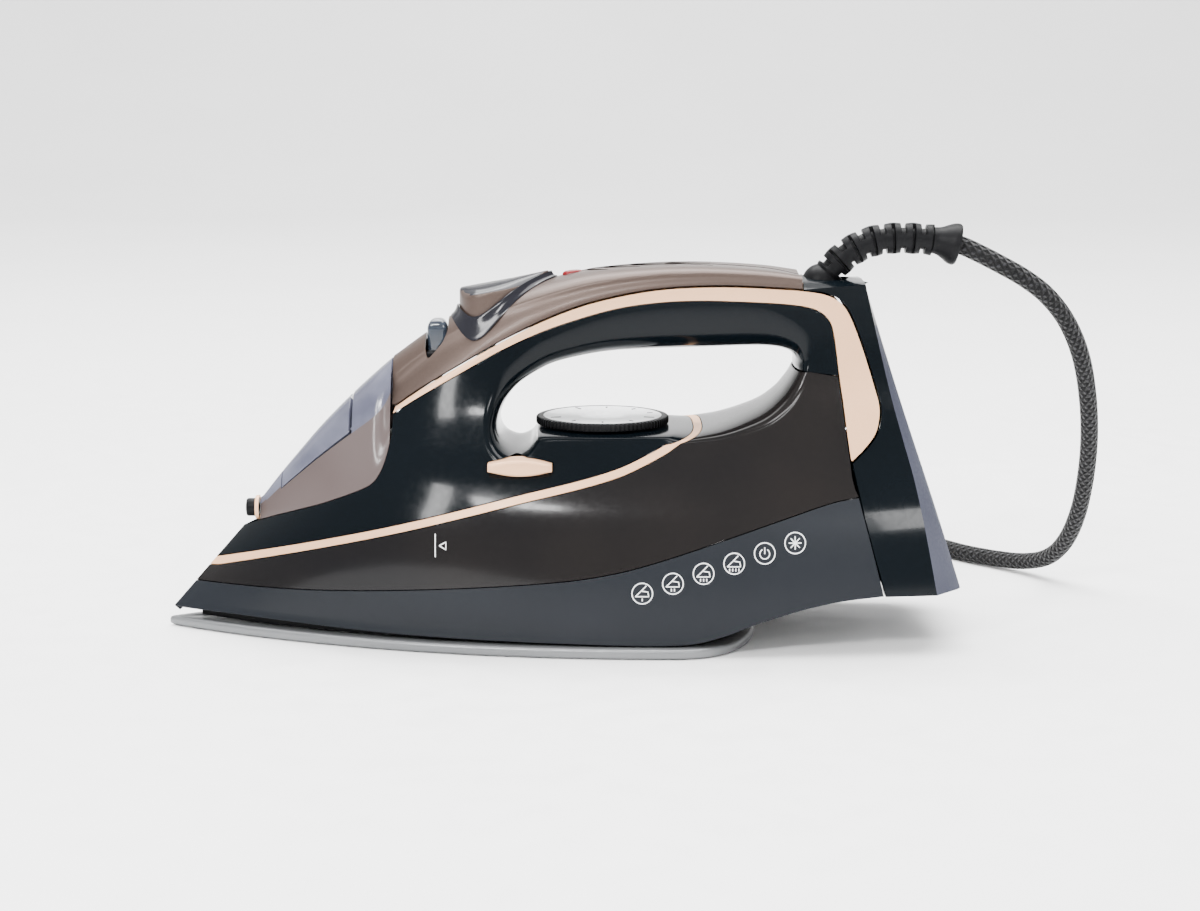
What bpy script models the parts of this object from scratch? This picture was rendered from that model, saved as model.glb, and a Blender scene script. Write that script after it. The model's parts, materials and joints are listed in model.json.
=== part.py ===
"""Steam iron: soleplate, skirt, water tank, handle housing, controls and cord, each a separate solid.

Lengths in this file are millimetres until solid() turns them into metres. +Z is up, the sole rests on
z = 0, the nose points to -X and the iron is symmetric about the plane y = 0.
"""
import bpy
import bmesh
import numpy as np
from math import cos, hypot, pi, radians, sin, sqrt
from mathutils import Matrix, Vector

MM = 0.001

# ---------------------------------------------------------------- driving dimensions
SOLE_NOSE_X = -160.0
SOLE_WIDEST_X = 45.0
SOLE_REAR_X = 80.0
SOLE_HALF_WIDTH = 58.4
SOLE_THICKNESS = 4.0
BODY_HALF_WIDTH = 55.0
NOSE_X_AT_FLOOR = -165.5
NOSE_SLOPE = 0.88
HEEL_X = 160.0
HEEL_BOTTOM_Z = 23.0
HEEL_SLOPE = 0.318
WALL = 2.2
ROOF_DROP = 2.6
GAP = 0.4
ROLL_POWER = 0.7

DIAL_X = 18.0
DIAL_RADIUS = 27.0
DIAL_BOTTOM_Z = 84.4
DIAL_TOP_Z = 87.6
PEDESTAL_Z = 83.9
SHAFT_RADIUS = 3.0
NEEDLE_X = -48.4
NEEDLE_RADIUS = 1.6
BUTTON_FRONT_X = -39.5
BUTTON_TIP_X = -3.5
BUTTON_HALF_WIDTH = 12.6
DOOR_PIVOT = (-83.2, 0.0, 94.9)
BALL_X = 105.5
BALL_Z = 141.5

CORD_DIAMETER = 7.4
COIL_CENTRE = (119.0, 142.0)
COIL_MEAN_DIAMETER = 86.0
COIL_HALF_WIDTH = 12.0
COIL_HEIGHT = 15.0
TIE_ANGLE = radians(225)
PLUG_FACE = (-4.0, 193.0, 19.6)

# half width of the body as a share of its greatest width, at each height
WIDTH_SHARE = [(0, 1.0), (8, 1.0), (30, 0.965), (50, 0.88), (65, 0.75), (80, 0.575), (95, 0.435),
               (110, 0.36), (130, 0.335), (160, 0.33)]

# outlines in the side view, (x, z)
SKIRT_BOTTOM = [(-158.3, 8.2), (-120, 8.0), (-62, 6.2), (0, 5.2), (46, 4.8), (64, 8.0), (77, 12.8),
                (95, 18.2), (111, 21.5), (127.8, 23.2)]
SKIRT_TOP = [(-149, 19), (-103, 21), (-54, 24.7), (-6, 28.8), (17, 31.8), (40, 37.4), (87, 52.6),
             (107, 58.8), (118.2, 60.9)]
TRIM_LINE = [(-141.3, 27), (-94.5, 39.5), (-61.5, 48.2), (-37.7, 54.5), (-14.2, 60.5), (9.2, 65.9),
             (24.8, 70.3), (36.6, 75.4), (43.4, 78.9)]
TRIM_HALF_HEIGHT = 1.6
# the opening's rounded rim: where it meets the side surface, and the wall at y = 0
SADDLE_RIM = [((48.9, 80.6), (58.4, 84.5)), ((64, 82), (66, 86.4)), ((75.5, 84.6), (74, 89.3)),
              ((85, 88), (82, 93)), ((92.5, 93.6), (88, 97.8)), ((96.5, 99), (91.5, 102)),
              ((99, 103.5), (93.6, 105.2)), ((100.5, 107.4), (94.8, 107.6))]
HOUSING_RIM = [((44.9, 80.6), (54.4, 84.1)), ((40, 82.2), (46, PEDESTAL_Z)), ((20, 82.2), (20, PEDESTAL_Z)),
               ((-3.5, 82.2), (-5, PEDESTAL_Z)), ((-6.2, 80.0), (-8.6, 81.8)), ((-10, 75.0), (-11.6, 78.2)),
               ((-16.6, 71.5), (-16.3, 76.5)), ((-25.2, 75.0), (-21, 79)), ((-29, 82.5), (-23.4, 84)),
               ((-29.2, 90.5), (-23.0, 89.6)), ((-27, 99), (-20.2, 95.8)), ((-23, 106.5), (-15.3, 101.5)),
               ((-14.5, 114), (-7.2, 106.8)), ((-5, 120), (1, 110.3)), ((14, 127.5), (17, 113.6)),
               ((32, 131.5), (33, 114.9)), ((57.3, 133.5), (57.3, 115.7)), ((82.5, 132.5), (81.5, 116.3)),
               ((98, 124), (91.5, 115.0)), ((102, 113), (94.8, 112.2)), ((101, 107.4), (95.2, 108.1))]
WINDOW_EDGE = [(-121.8, 44.9), (-112.4, 48.4), (-103.7, 51.4), (-95, 54.4), (-88.6, 56.9), (-82.3, 59.5),
               (-74.1, 63.5), (-70.2, 68.3), (-67.9, 74.4), (-66.2, 82.5), (-65.3, 91.6), (-64.6, 102),
               (-64.4, 113.0)]
WINDOW_CORNER = 6
WINDOW_TOP = 9
NOSE_RIDGE = [(-121, 53.4), (-113.5, 63), (-105, 73.1), (-96.8, 82.6), (-88.5, 91.2), (-80.2, 99.2),
              (-72, 106.6), (-64.4, 113.0)]
TOP_RIDGE = [(-66.0, 111.8), (-53.6, 120.8), (-38.6, 130.5), (-20, 137.6), (-2.7, 143), (17, 147.2),
             (49, 149), (81, 147.4), (97, 144.6)]
RIBBON = [((-65.7, 90.1), (-65, 93.1)), ((-54.7, 97.1), (-54.8, 100.1)), ((-38.6, 106.5), (-38.7, 109.9)),
          ((-22.6, 115.6), (-22.6, 119.2)), ((-6.7, 123), (-6.7, 127.3)), ((9.1, 128.5), (9.1, 133.5)),
          ((24.9, 132.7), (24.9, 137.6)), ((40.7, 134.9), (40.7, 140.2)), ((56.5, 135.6), (56.5, 141.2)),
          ((72.3, 135.2), (72.2, 141.2)), ((88.1, 134.4), (88.1, 140.4)), ((98, 133.2), (97.4, 139.7)),
          ((104, 131.2), (106.5, 138.2)), ((108, 127.2), (112.7, 134.8)), ((109.6, 122), (116.7, 128.8)),
          ((110.8, 114), (121.7, 116.1)), ((111.8, 106), (126, 102.4)), ((113.2, 96), (128, 94.7)),
          ((114.2, 87), (127.8, 89.1)), ((114.9, 80.5), (126, 83.5)), ((115.4, 76.4), (121.4, 78)),
          ((115.7, 74.2), (116.6, 73.8))]
RIBBON_AT_SEAM = 16
RIBBON_AT_COVER_END = 11
HEEL_FRONT = [(128, 23.2), (126, 31), (123.8, 38.6), (120, 53.3), (118.4, 60.9), (117.1, 67), (115.9, 73.2)]
CHAMFER_LINE = [(148.9, 23), (145.6, 40.7), (142.7, 55.8), (140, 68.7), (136.7, 81.5), (132.8, 96.6),
                (127.2, 120), (122, 142)]
CORD_ROUTE = [(162.6, 0, 155.9), (169, 0, 153.0), (178, 0.5, 148.4), (188, 1.5, 142.8), (198, 4, 135.2),
              (207.3, 9, 124), (214.8, 16, 109), (220, 25, 91), (223.5, 36, 72), (225, 48, 52.5),
              (224.6, 60, 34.5), (222, 72, 20), (217, 84, 10.4), (209, 97, 5.6), (199, 109, 4.1),
              (187.5, 122, 3.8), (179, 135, 3.8)]
TAIL_LENGTH_X = 36.0

COLOURS = {
    "sole_metal": ((0.30, 0.31, 0.32), 0.35, 0.9),
    "cast_aluminium": ((0.45, 0.45, 0.46), 0.5, 0.9),
    "steel": ((0.6, 0.6, 0.62), 0.3, 1.0),
    "silicone": ((0.55, 0.12, 0.08), 0.6, 0.0),
    "slate_plastic": ((0.045, 0.05, 0.062), 0.4, 0.0),
    "smoky_plastic": ((0.05, 0.042, 0.04), 0.12, 0.0),
    "black_gloss": ((0.006, 0.010, 0.016), 0.1, 0.0),
    "black_plastic": ((0.015, 0.015, 0.017), 0.5, 0.0),
    "taupe_metallic": ((0.30, 0.23, 0.20), 0.35, 0.5),
    "rose_gold": ((0.80, 0.56, 0.42), 0.35, 0.4),
    "window_plastic": ((0.33, 0.30, 0.36), 0.1, 0.0),
    "smoke_grey": ((0.06, 0.06, 0.08), 0.15, 0.0),
    "blue_clear": ((0.02, 0.03, 0.08), 0.1, 0.0),
    "white_plastic": ((0.75, 0.75, 0.72), 0.4, 0.0),
    "red_lens": ((0.45, 0.01, 0.02), 0.15, 0.0),
    "board_green": ((0.03, 0.16, 0.07), 0.5, 0.0),
    "cord_textile": ((0.02, 0.02, 0.022), 0.8, 0.0),
}


# ---------------------------------------------------------------- curves and the body's shape
def dense_spline(points, per_span):
    """Points on a Catmull-Rom curve through the given points, per_span to each span."""
    p = np.array(points, dtype=float)
    ends = np.vstack([2 * p[0] - p[1], p, 2 * p[-1] - p[-2]])
    fine = []
    for i in range(1, len(ends) - 2):
        a, b, c, d = ends[i - 1], ends[i], ends[i + 1], ends[i + 2]
        for t in np.linspace(0, 1, per_span, endpoint=False):
            fine.append(0.5 * (2 * b + (c - a) * t + (2 * a - 5 * b + 4 * c - d) * t * t
                               + (3 * b - a - 3 * c + d) * t ** 3))
    return np.array(fine + [p[-1]])


def spline(points, count):
    """count points, evenly spaced, on a smooth curve through the given points."""
    fine = dense_spline(points, 24)
    run = np.concatenate([[0], np.cumsum(np.linalg.norm(np.diff(fine, axis=0), axis=1))])
    at = np.linspace(0, run[-1], count)
    return np.column_stack([np.interp(at, run, fine[:, k]) for k in range(fine.shape[1])])


def along(points, value, key=0, want=1):
    """The want coordinate of a side-view outline where its key coordinate has the given value."""
    p = sorted(points, key=lambda q: q[key])
    return float(np.interp(value, [q[key] for q in p], [q[want] for q in p]))


def nose_x(z):
    return NOSE_X_AT_FLOOR + NOSE_SLOPE * z


def half_width(x, z):
    """Half width of the body at a point of the side view."""
    wide = BODY_HALF_WIDTH * along(WIDTH_SHARE, max(z, 0))
    if x >= SOLE_WIDEST_X:
        return wide * (1 - 0.16 * ((x - SOLE_WIDEST_X) / 115) ** 2)
    t = (SOLE_WIDEST_X - x) / (SOLE_WIDEST_X - nose_x(z))
    if t >= 1:
        return 0.0
    return wide * (1 - t ** (2.1 + 0.035 * max(0, z - 10))) ** 0.95


def sole_half_width(x, half=SOLE_HALF_WIDTH, nose=SOLE_NOSE_X, rear=SOLE_REAR_X):
    if x < SOLE_WIDEST_X:
        return half * max(0, 1 - ((SOLE_WIDEST_X - x) / (SOLE_WIDEST_X - nose)) ** 2.1) ** 0.95
    return half * max(0, 1 - ((x - SOLE_WIDEST_X) / (rear - SOLE_WIDEST_X)) ** 2.4) ** (1 / 2.4)


def sole_outline(inset, count=17):
    """Closed plan outline of the sole, moved in by inset, as (x, y) points from the nose round."""
    nose = SOLE_NOSE_X + 2.0 * inset
    rear = SOLE_REAR_X - inset
    half = SOLE_HALF_WIDTH - inset
    front = [SOLE_WIDEST_X - (SOLE_WIDEST_X - nose) * sin(pi / 2 * (1 - k / count)) for k in range(count)]
    back = [SOLE_WIDEST_X + (rear - SOLE_WIDEST_X) * sin(pi / 2 * k / 8) for k in range(9)]
    near = [(x, -sole_half_width(x, half, nose, rear)) for x in front + back]
    near[0] = (nose, 0.0)
    near[-1] = (rear, 0.0)
    return near + [(x, -y) for x, y in near[-2:0:-1]]


def shifted(line, distance):
    """A side-view outline moved sideways; positive is to the left of its direction."""
    p = np.asarray(line, dtype=float)
    step = np.gradient(p, axis=0)
    step /= np.linalg.norm(step, axis=1)[:, None]
    return p + distance * np.column_stack([-step[:, 1], step[:, 0]])


def on_nose(point):
    return np.array([nose_x(point[1]), point[1]])


def side_point(point):
    """The near side's surface point above a side-view point."""
    return np.array([point[0], -half_width(point[0], point[1]), point[1]])


def heel_x(z):
    return HEEL_X - HEEL_SLOPE * (z - HEEL_BOTTOM_Z)


# ---------------------------------------------------------------- making objects
def finish_node(name, obj, material):
    obj.name = name
    obj.data.name = name
    obj.data.materials.clear()
    obj.data.materials.append(MATERIALS[material])
    return obj


def solid(name, verts, faces, material, origin=(0, 0, 0), smooth=True):
    """One closed mesh from millimetre points, with its own origin."""
    mesh = bpy.data.meshes.new(name)
    mesh.from_pydata([tuple((np.array(v, dtype=float) - origin) * MM) for v in verts], [], faces)
    bm = bmesh.new()
    bm.from_mesh(mesh)
    bmesh.ops.remove_doubles(bm, verts=bm.verts, dist=0.02 * MM)
    bmesh.ops.dissolve_degenerate(bm, edges=bm.edges, dist=0.001 * MM)
    bmesh.ops.recalc_face_normals(bm, faces=bm.faces)
    bm.to_mesh(mesh)
    bm.free()
    obj = bpy.data.objects.new(name, mesh)
    bpy.context.collection.objects.link(obj)
    obj.location = Vector(origin) * MM
    if smooth:
        mesh.shade_smooth()
        mesh.set_sharp_from_angle(angle=radians(35))
    return finish_node(name, obj, material)


def grid(rows):
    """Vertices and quads of a sheet given as rows of points."""
    count = len(rows[0])
    verts = [tuple(p) for row in rows for p in row]
    faces = []
    for r in range(len(rows) - 1):
        for c in range(count - 1):
            a = r * count + c
            faces.append((a, a + 1, a + count + 1, a + count))
    return verts, faces


def shell(name, patches, material, wall=WALL, skip=None):
    """A wall of even thickness. The patches are its near half's outer surface; the far half mirrors it.

    skip(centre) leaves out faces of the whole outer surface, which opens the hollow."""
    bm = bmesh.new()
    for rows in patches:
        for side in (1, -1):
            verts, faces = grid([[(p[0], side * p[1], p[2]) for p in row] for row in rows])
            made = [bm.verts.new(v) for v in verts]
            for f in faces:
                bm.faces.new([made[i] for i in f])
    bmesh.ops.remove_doubles(bm, verts=bm.verts, dist=0.05)
    bmesh.ops.dissolve_degenerate(bm, edges=bm.edges, dist=0.01)
    loose = [v for v in bm.verts if not v.link_faces]
    bmesh.ops.delete(bm, geom=loose, context="VERTS")
    bmesh.ops.recalc_face_normals(bm, faces=bm.faces)
    lean = sum(f.normal.y * f.calc_center_median().y * f.calc_area() for f in bm.faces)
    if lean < 0:
        bmesh.ops.reverse_faces(bm, faces=bm.faces)
    if skip:
        gone = [f for f in bm.faces if skip(f.calc_center_median())]
        bmesh.ops.delete(bm, geom=gone, context="FACES")
    bm.verts.index_update()
    outer = [np.array(v.co) for v in bm.verts]
    inner = []
    for v in bm.verts:
        normals = np.array([f.normal for f in v.link_faces])
        pull = normals.T @ normals + 0.01 * np.eye(3)
        inner.append(np.array(v.co) - wall * np.linalg.solve(pull, normals.sum(axis=0)))
    count = len(outer)
    faces = []
    for f in bm.faces:
        ring = [v.index for v in f.verts]
        faces.append(ring)
        faces.append([i + count for i in reversed(ring)])
    for e in bm.edges:
        if len(e.link_faces) == 1:
            a, b = e.verts[0].index, e.verts[1].index
            faces.append([a, b, b + count, a + count])
    bm.free()
    return solid(name, outer + inner, faces, material)


def stack(name, loops, material, closed=False, origin=(0, 0, 0), smooth=True):
    """A solid from loops of equal length: capped at both ends, or closed on itself as a ring."""
    count = len(loops[0])
    verts = [p for loop in loops for p in loop]
    faces = []
    total = len(loops)
    for r in range(total if closed else total - 1):
        s = (r + 1) % total
        for c in range(count):
            d = (c + 1) % count
            faces.append((r * count + c, r * count + d, s * count + d, s * count + c))
    if not closed:
        faces.append(tuple(range(count))[::-1])
        faces.append(tuple((total - 1) * count + c for c in range(count)))
    return solid(name, verts, faces, material, origin, smooth)


def plan_stack(name, sections, material, closed=False):
    """A stack of sole outlines, each given as (inset, z)."""
    loops = [[(x, y, z) for x, y in sole_outline(inset)] for inset, z in sections]
    return stack(name, loops, material, closed)


def turned(name, profile, material, centre, axis="Z", sides=20, closed=False, origin=None):
    """A turned solid; the profile is (radius, height) along the axis."""
    loops = []
    for r, h in profile:
        loop = []
        for k in range(sides):
            a = 2 * pi * k / sides
            u, v = r * cos(a), r * sin(a)
            place = {"Z": (u, v, h), "X": (h, u, v), "Y": (v, h, u)}[axis]
            loop.append(tuple(np.add(centre, place)))
        loops.append(loop)
    return stack(name, loops, material, closed, centre if origin is None else origin)


def block(name, low, high, material, bevel=0.6, origin=None):
    """A rectangular solid with bevelled edges."""
    middle = (np.add(low, high) / 2) if origin is None else np.array(origin, dtype=float)
    verts = [(x, y, z) for x in (low[0], high[0]) for y in (low[1], high[1]) for z in (low[2], high[2])]
    faces = [(0, 1, 3, 2), (4, 6, 7, 5), (0, 4, 5, 1), (2, 3, 7, 6), (0, 2, 6, 4), (1, 5, 7, 3)]
    obj = solid(name, verts, faces, material, tuple(middle), smooth=False)
    edge = obj.modifiers.new("edge", "BEVEL")
    edge.width = bevel * MM
    edge.segments = 1
    return obj


def tube(name, points, diameter, material, resolution=2, origin=(0, 0, 0)):
    """A round tube along points, with closed ends."""
    curve = bpy.data.curves.new(name, "CURVE")
    curve.dimensions = "3D"
    curve.bevel_depth = diameter / 2 * MM
    curve.bevel_resolution = resolution
    curve.use_fill_caps = True
    line = curve.splines.new("POLY")
    line.points.add(len(points) - 1)
    for knot, p in zip(line.points, points):
        knot.co = (*((np.array(p) - origin) * MM), 1)
    obj = bpy.data.objects.new(name, curve)
    bpy.context.collection.objects.link(obj)
    obj.location = Vector(origin) * MM
    curve.materials.append(MATERIALS[material])
    return obj


def spring(name, centre, radius, length, wire, turns, axis="Z"):
    """A compression spring that starts at centre and runs along +Z or +Y."""
    steps = turns * 9
    points = []
    for k in range(steps + 1):
        a = 2 * pi * k * turns / steps
        rise = wire / 2 + (length - wire) * k / steps
        turn = (radius * cos(a), radius * sin(a), rise)
        points.append(tuple(np.add(centre, turn if axis == "Z" else (turn[0], rise, turn[1]))))
    return tube(name, points, wire, "steel", 0, centre)


def cutter(name, verts_faces):
    """A hidden solid that other pieces are cut with."""
    verts, faces = verts_faces
    mesh = bpy.data.meshes.new(name)
    mesh.from_pydata([tuple(np.array(v) * MM) for v in verts], [], faces)
    bm = bmesh.new()
    bm.from_mesh(mesh)
    bmesh.ops.recalc_face_normals(bm, faces=bm.faces)
    bm.to_mesh(mesh)
    bm.free()
    obj = bpy.data.objects.new(name, mesh)
    bpy.context.collection.objects.link(obj)
    obj.hide_render = True
    obj.display_type = "WIRE"
    return obj


def prism(outline, low, high):
    """Vertices and faces of a vertical prism on a plan outline."""
    count = len(outline)
    verts = [(x, y, low) for x, y in outline] + [(x, y, high) for x, y in outline]
    faces = [tuple(range(count))[::-1], tuple(range(count, 2 * count))]
    for c in range(count):
        d = (c + 1) % count
        faces.append((c, d, d + count, c + count))
    return verts, faces


def bar_along_y(x, z, radius, reach, sides=8):
    """Vertices and faces of a round bar along Y."""
    ring = disc(x, z, radius, sides)
    verts = [(a, y, b) for y in (-reach, reach) for a, b in ring]
    faces = [tuple(range(sides))[::-1], tuple(range(sides, 2 * sides))]
    faces += [(k, (k + 1) % sides, (k + 1) % sides + sides, k + sides) for k in range(sides)]
    return verts, faces


def disc(x, y, radius, sides=16):
    return [(x + radius * cos(2 * pi * k / sides), y + radius * sin(2 * pi * k / sides))
            for k in range(sides)]


def box_outline(x, y, half_x, half_y):
    return [(x - half_x, y - half_y), (x + half_x, y - half_y), (x + half_x, y + half_y),
            (x - half_x, y + half_y)]


def cut(obj, tool, kind="DIFFERENCE"):
    change = obj.modifiers.new("cut " + tool.name, "BOOLEAN")
    change.operation = kind
    change.object = tool


# ---------------------------------------------------------------- outlines shared by neighbours
SIDE_COUNT = 20
skirt_low = spline(SKIRT_BOTTOM, SIDE_COUNT)
skirt_high = spline(SKIRT_TOP, SIDE_COUNT)
trim_mid = spline(TRIM_LINE, 17)
trim_low = shifted(trim_mid, -TRIM_HALF_HEIGHT)
trim_high = shifted(trim_mid, TRIM_HALF_HEIGHT)
ribbon_low = np.array([pair[0] for pair in RIBBON])
ribbon_high = np.array([pair[1] for pair in RIBBON])


def roll(start, opening, fractions):
    """Points from the side surface over a rounded rim to the opening's wall at y = 0."""
    start = np.asarray(start, dtype=float)
    opening = np.asarray(opening, dtype=float)
    wide = half_width(*start)
    points = []
    for q in fractions:
        a = pi / 2 * q
        p = opening + (start - opening) * (1 - cos(a) ** ROLL_POWER)
        points.append(np.array([p[0], -wide * sin(a) ** ROLL_POWER, p[1]]))
    return points


ROLL_STEPS = (0.86, 0.66, 0.42, 0.2, 0.0)


def bezier_section(edge, ridge, steps):
    """From a side point over the crown to the ridge at y = 0, leaving along the side surface."""
    start = side_point(edge)
    end = np.array([ridge[0], 0.0, ridge[1]])
    reach = np.array([ridge[0] - edge[0], ridge[1] - edge[1]])
    length = hypot(*reach)
    if length < 0.01:
        return [start for _ in steps]
    probe = side_point(np.asarray(edge) + reach / length * 1.0)
    out = probe - start
    out /= np.linalg.norm(out)
    size = np.linalg.norm(end - start)
    p1 = start + out * size * 0.42
    p2 = end + np.array([0, start[1] * 0.62, 0])
    points = []
    for t in steps:
        u = 1 - t
        points.append(u ** 3 * start + 3 * u * u * t * p1 + 3 * u * t * t * p2 + t ** 3 * end)
    return points


def cover_section(x, steps):
    low = along([tuple(p) for p in ribbon_high[:RIBBON_AT_COVER_END + 1]], x)
    return bezier_section((x, low + 2 * GAP), (x, along(TOP_RIDGE, x)), steps)


def cover_height(x, y):
    """Height of the handle's taupe top at a plan point."""
    line = cover_section(x, np.linspace(0, 1, 25))
    return float(np.interp(-abs(y), [p[1] for p in line], [p[2] for p in line]))


# ---------------------------------------------------------------- sole and heating
def make_sole():
    sole = plan_stack("soleplate", [(1.2, 0.0), (0.0, 1.0), (0.0, SOLE_THICKNESS - 0.8),
                                    (0.7, SOLE_THICKNESS)], "sole_metal")
    vents = [(x, side * 0.62 * sole_half_width(x, 56)) for x in range(-110, 61, 17) for side in (-1, 1)]
    vents += [(-136, 0), (-96, 0)]
    for k, (x, y) in enumerate(vents):
        cut(sole, cutter("vent_%02d" % k, prism(disc(x, y, 1.7, 8), -1, SOLE_THICKNESS + 1)))
    plan_stack("sole_casting", [(10, 4.4), (9, 5.2), (9, 12.0), (13, 12.0), (13, 5.6), (20.6, 5.6),
                                (20.6, 12.0), (25, 12.0), (25, 7.0)], "cast_aluminium")
    run = [p for p in sole_outline(16.8, 14)]
    start = len(run) // 2
    ring = run[start + 2:] + run[:start - 1]
    path = [(ring[0][0], ring[0][1], 13.0)]
    path += [(x, y, 9.0) for x, y in ring[1:-1]]
    path += [(ring[-1][0], ring[-1][1], 13.0)]
    tube("heating_element", path, 6.2, "steel", 1)
    plan_stack("chamber_gasket", [(21.6, 12.3), (21.6, 13.3), (24.4, 13.3), (24.4, 12.3)], "silicone", True)
    cover = plan_stack("chamber_cover", [(21.2, 13.6), (21.2, 14.8)], "steel")
    cut(cover, NEEDLE_CUT)
    plan_stack("sole_insulator", [(6.6, 4.5), (6.6, 14.5), (8.4, 14.5), (8.4, 4.5)], "black_plastic", True)
    shield = plan_stack("heat_shield", [(10.5, 16.2), (10.5, 17.4)], "black_plastic")
    cut(shield, NEEDLE_CUT)
    cut(shield, cutter("thermostat_hole", prism(box_outline(DIAL_X, 0, 13.6, 10.6), 15.5, 18.5)))
    block("thermostat", (DIAL_X - 13, -10, 15.1), (DIAL_X + 13, 10, 27.4), "white_plastic")
    turned("thermostat_shaft", [(SHAFT_RADIUS, 0), (SHAFT_RADIUS, 56.2)], "steel", (DIAL_X, 0, 27.8),
           sides=12)
    turned("thermal_fuse", [(1.9, 0), (1.9, 12)], "white_plastic", (42, 16, 19.7), "X", 10)


# ---------------------------------------------------------------- skirt, tank and trim
def make_lower_body():
    low = skirt_low.copy()
    low[0] = on_nose(low[0])
    high = shifted(skirt_high, -GAP / 2)
    high[0] = on_nose(high[0])
    high[-1] -= (GAP / 2, 0)
    rows = []
    for f in (0, 0.35, 0.7, 1):
        rows.append([side_point(a + (b - a) * f) for a, b in zip(low, high)])
        rows[-1][0] = np.array([rows[-1][0][0], 0, rows[-1][0][2]])
    shell("skirt", [rows], "slate_plastic")

    ends = []
    for x in np.linspace(75, 126.5, 8):
        z = along([tuple(p) for p in skirt_low], x) + 0.6
        y = half_width(x, z) - WALL - 0.8
        ends.append([(x, -y, z), (x, y, z), (x, y, z + 2), (x, -y, z + 2)])
    stack("bottom_cover", ends, "black_plastic")

    floor = shifted(skirt_high, GAP / 2)
    floor[0] = on_nose(floor[0])
    seam_back = ribbon_low[:RIBBON_AT_SEAM - 1:-1]
    back = np.array([(116.9 + 0.3, 63.6), (115.7, 68.5)] + [tuple(p) for p in seam_back])
    back[:, 0] -= GAP
    back[-1] = (back[-1][0], ribbon_low[RIBBON_AT_SEAM][1] - 1.5 * GAP)
    lower = np.vstack([floor, back])
    lower[SIDE_COUNT - 1][0] -= GAP / 2
    roof = shifted(trim_low, -GAP / 2)
    roof[0] = on_nose(roof[0])
    roof_end = len(roof)
    rim = spline([(*pair[0], *pair[1]) for pair in SADDLE_RIM], len(lower) - roof_end)
    rim[-1][3] -= 1.5 * GAP
    rim[-1][1] = rim[-1][3] - 0.2
    upper_side = [station[:2] for station in rim]
    rolls = [roll(station[:2], station[2:], (1.0,) + ROLL_STEPS) for station in rim]
    upper = np.vstack([roof, np.array(upper_side)])
    rows = []
    for f in (0, 0.3, 0.6, 0.85, 1):
        line = [side_point(a + (b - a) * f) for a, b in zip(lower, upper)]
        line[0] = np.array([line[0][0], 0, line[0][2]])
        rows.append(line)
    bottom = [rows[0]]
    top = [rows[-1][:roof_end + 1] + [rows[-1][roof_end]]]
    for f in (0.3, 0.0):
        bottom.append([np.array([p[0], p[1] * f, p[2]]) for p in rows[0]])
    for f, step in ((1.0, 1), (0.85, 2), (0.6, 3), (0.3, 4), (0.0, 5)):
        line = []
        for p in rows[-1][:roof_end]:
            inward = max(0.0, min(1.0, (abs(p[1]) - 3.2) / max(abs(p[1]), 0.1)))
            line.append(np.array([p[0], p[1] * f * inward, p[2] - ROOF_DROP * min(1, abs(p[1]) / 2)]))
        crown = np.array(rolls[0][step])
        line += [crown - (0, 0, ROOF_DROP + 1.0), crown]
        top.append(line)
    seam = [[np.array(row[-1]) for row in rows]]
    seam.append([np.array([p[0], p[1] * 0.3, p[2]]) for p in seam[0]])
    seam.append([np.array([p[0], 0, p[2]]) for p in seam[0]])
    roll_rows = [[np.array(points[j]) for points in rolls] for j in range(len(rolls[0]))]

    def port(c):
        return -112 < c.x < -98 and abs(c.y) < 4 and c.z > 30

    tank_shell("water_tank", rows, bottom, top, seam, roll_rows, port)

    low = shifted(trim_low, GAP / 2)
    high = shifted(trim_high, -0.65 * GAP)
    low[0] = on_nose(low[0] + (0, 0.8))
    high[0] = on_nose(high[0] - (0, 0.2))
    saddle_start = np.array(SADDLE_RIM[0])
    housing_start = np.array(HOUSING_RIM[0])
    low = np.vstack([low, saddle_start[0] - (GAP, 0)])
    high = np.vstack([high, housing_start[0] + (2 * GAP, 0)])
    sides = [[side_point(p) for p in low], [side_point(p) for p in high]]
    sides[0] += roll(saddle_start[0] - (GAP, 0), saddle_start[1] - (GAP, 0), ROLL_STEPS)
    sides[1] += roll(housing_start[0] + (2 * GAP, 0), housing_start[1] + (1.5 * GAP, 0), ROLL_STEPS)
    shell("body_trim", [sides], "rose_gold", 1.2)


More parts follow.
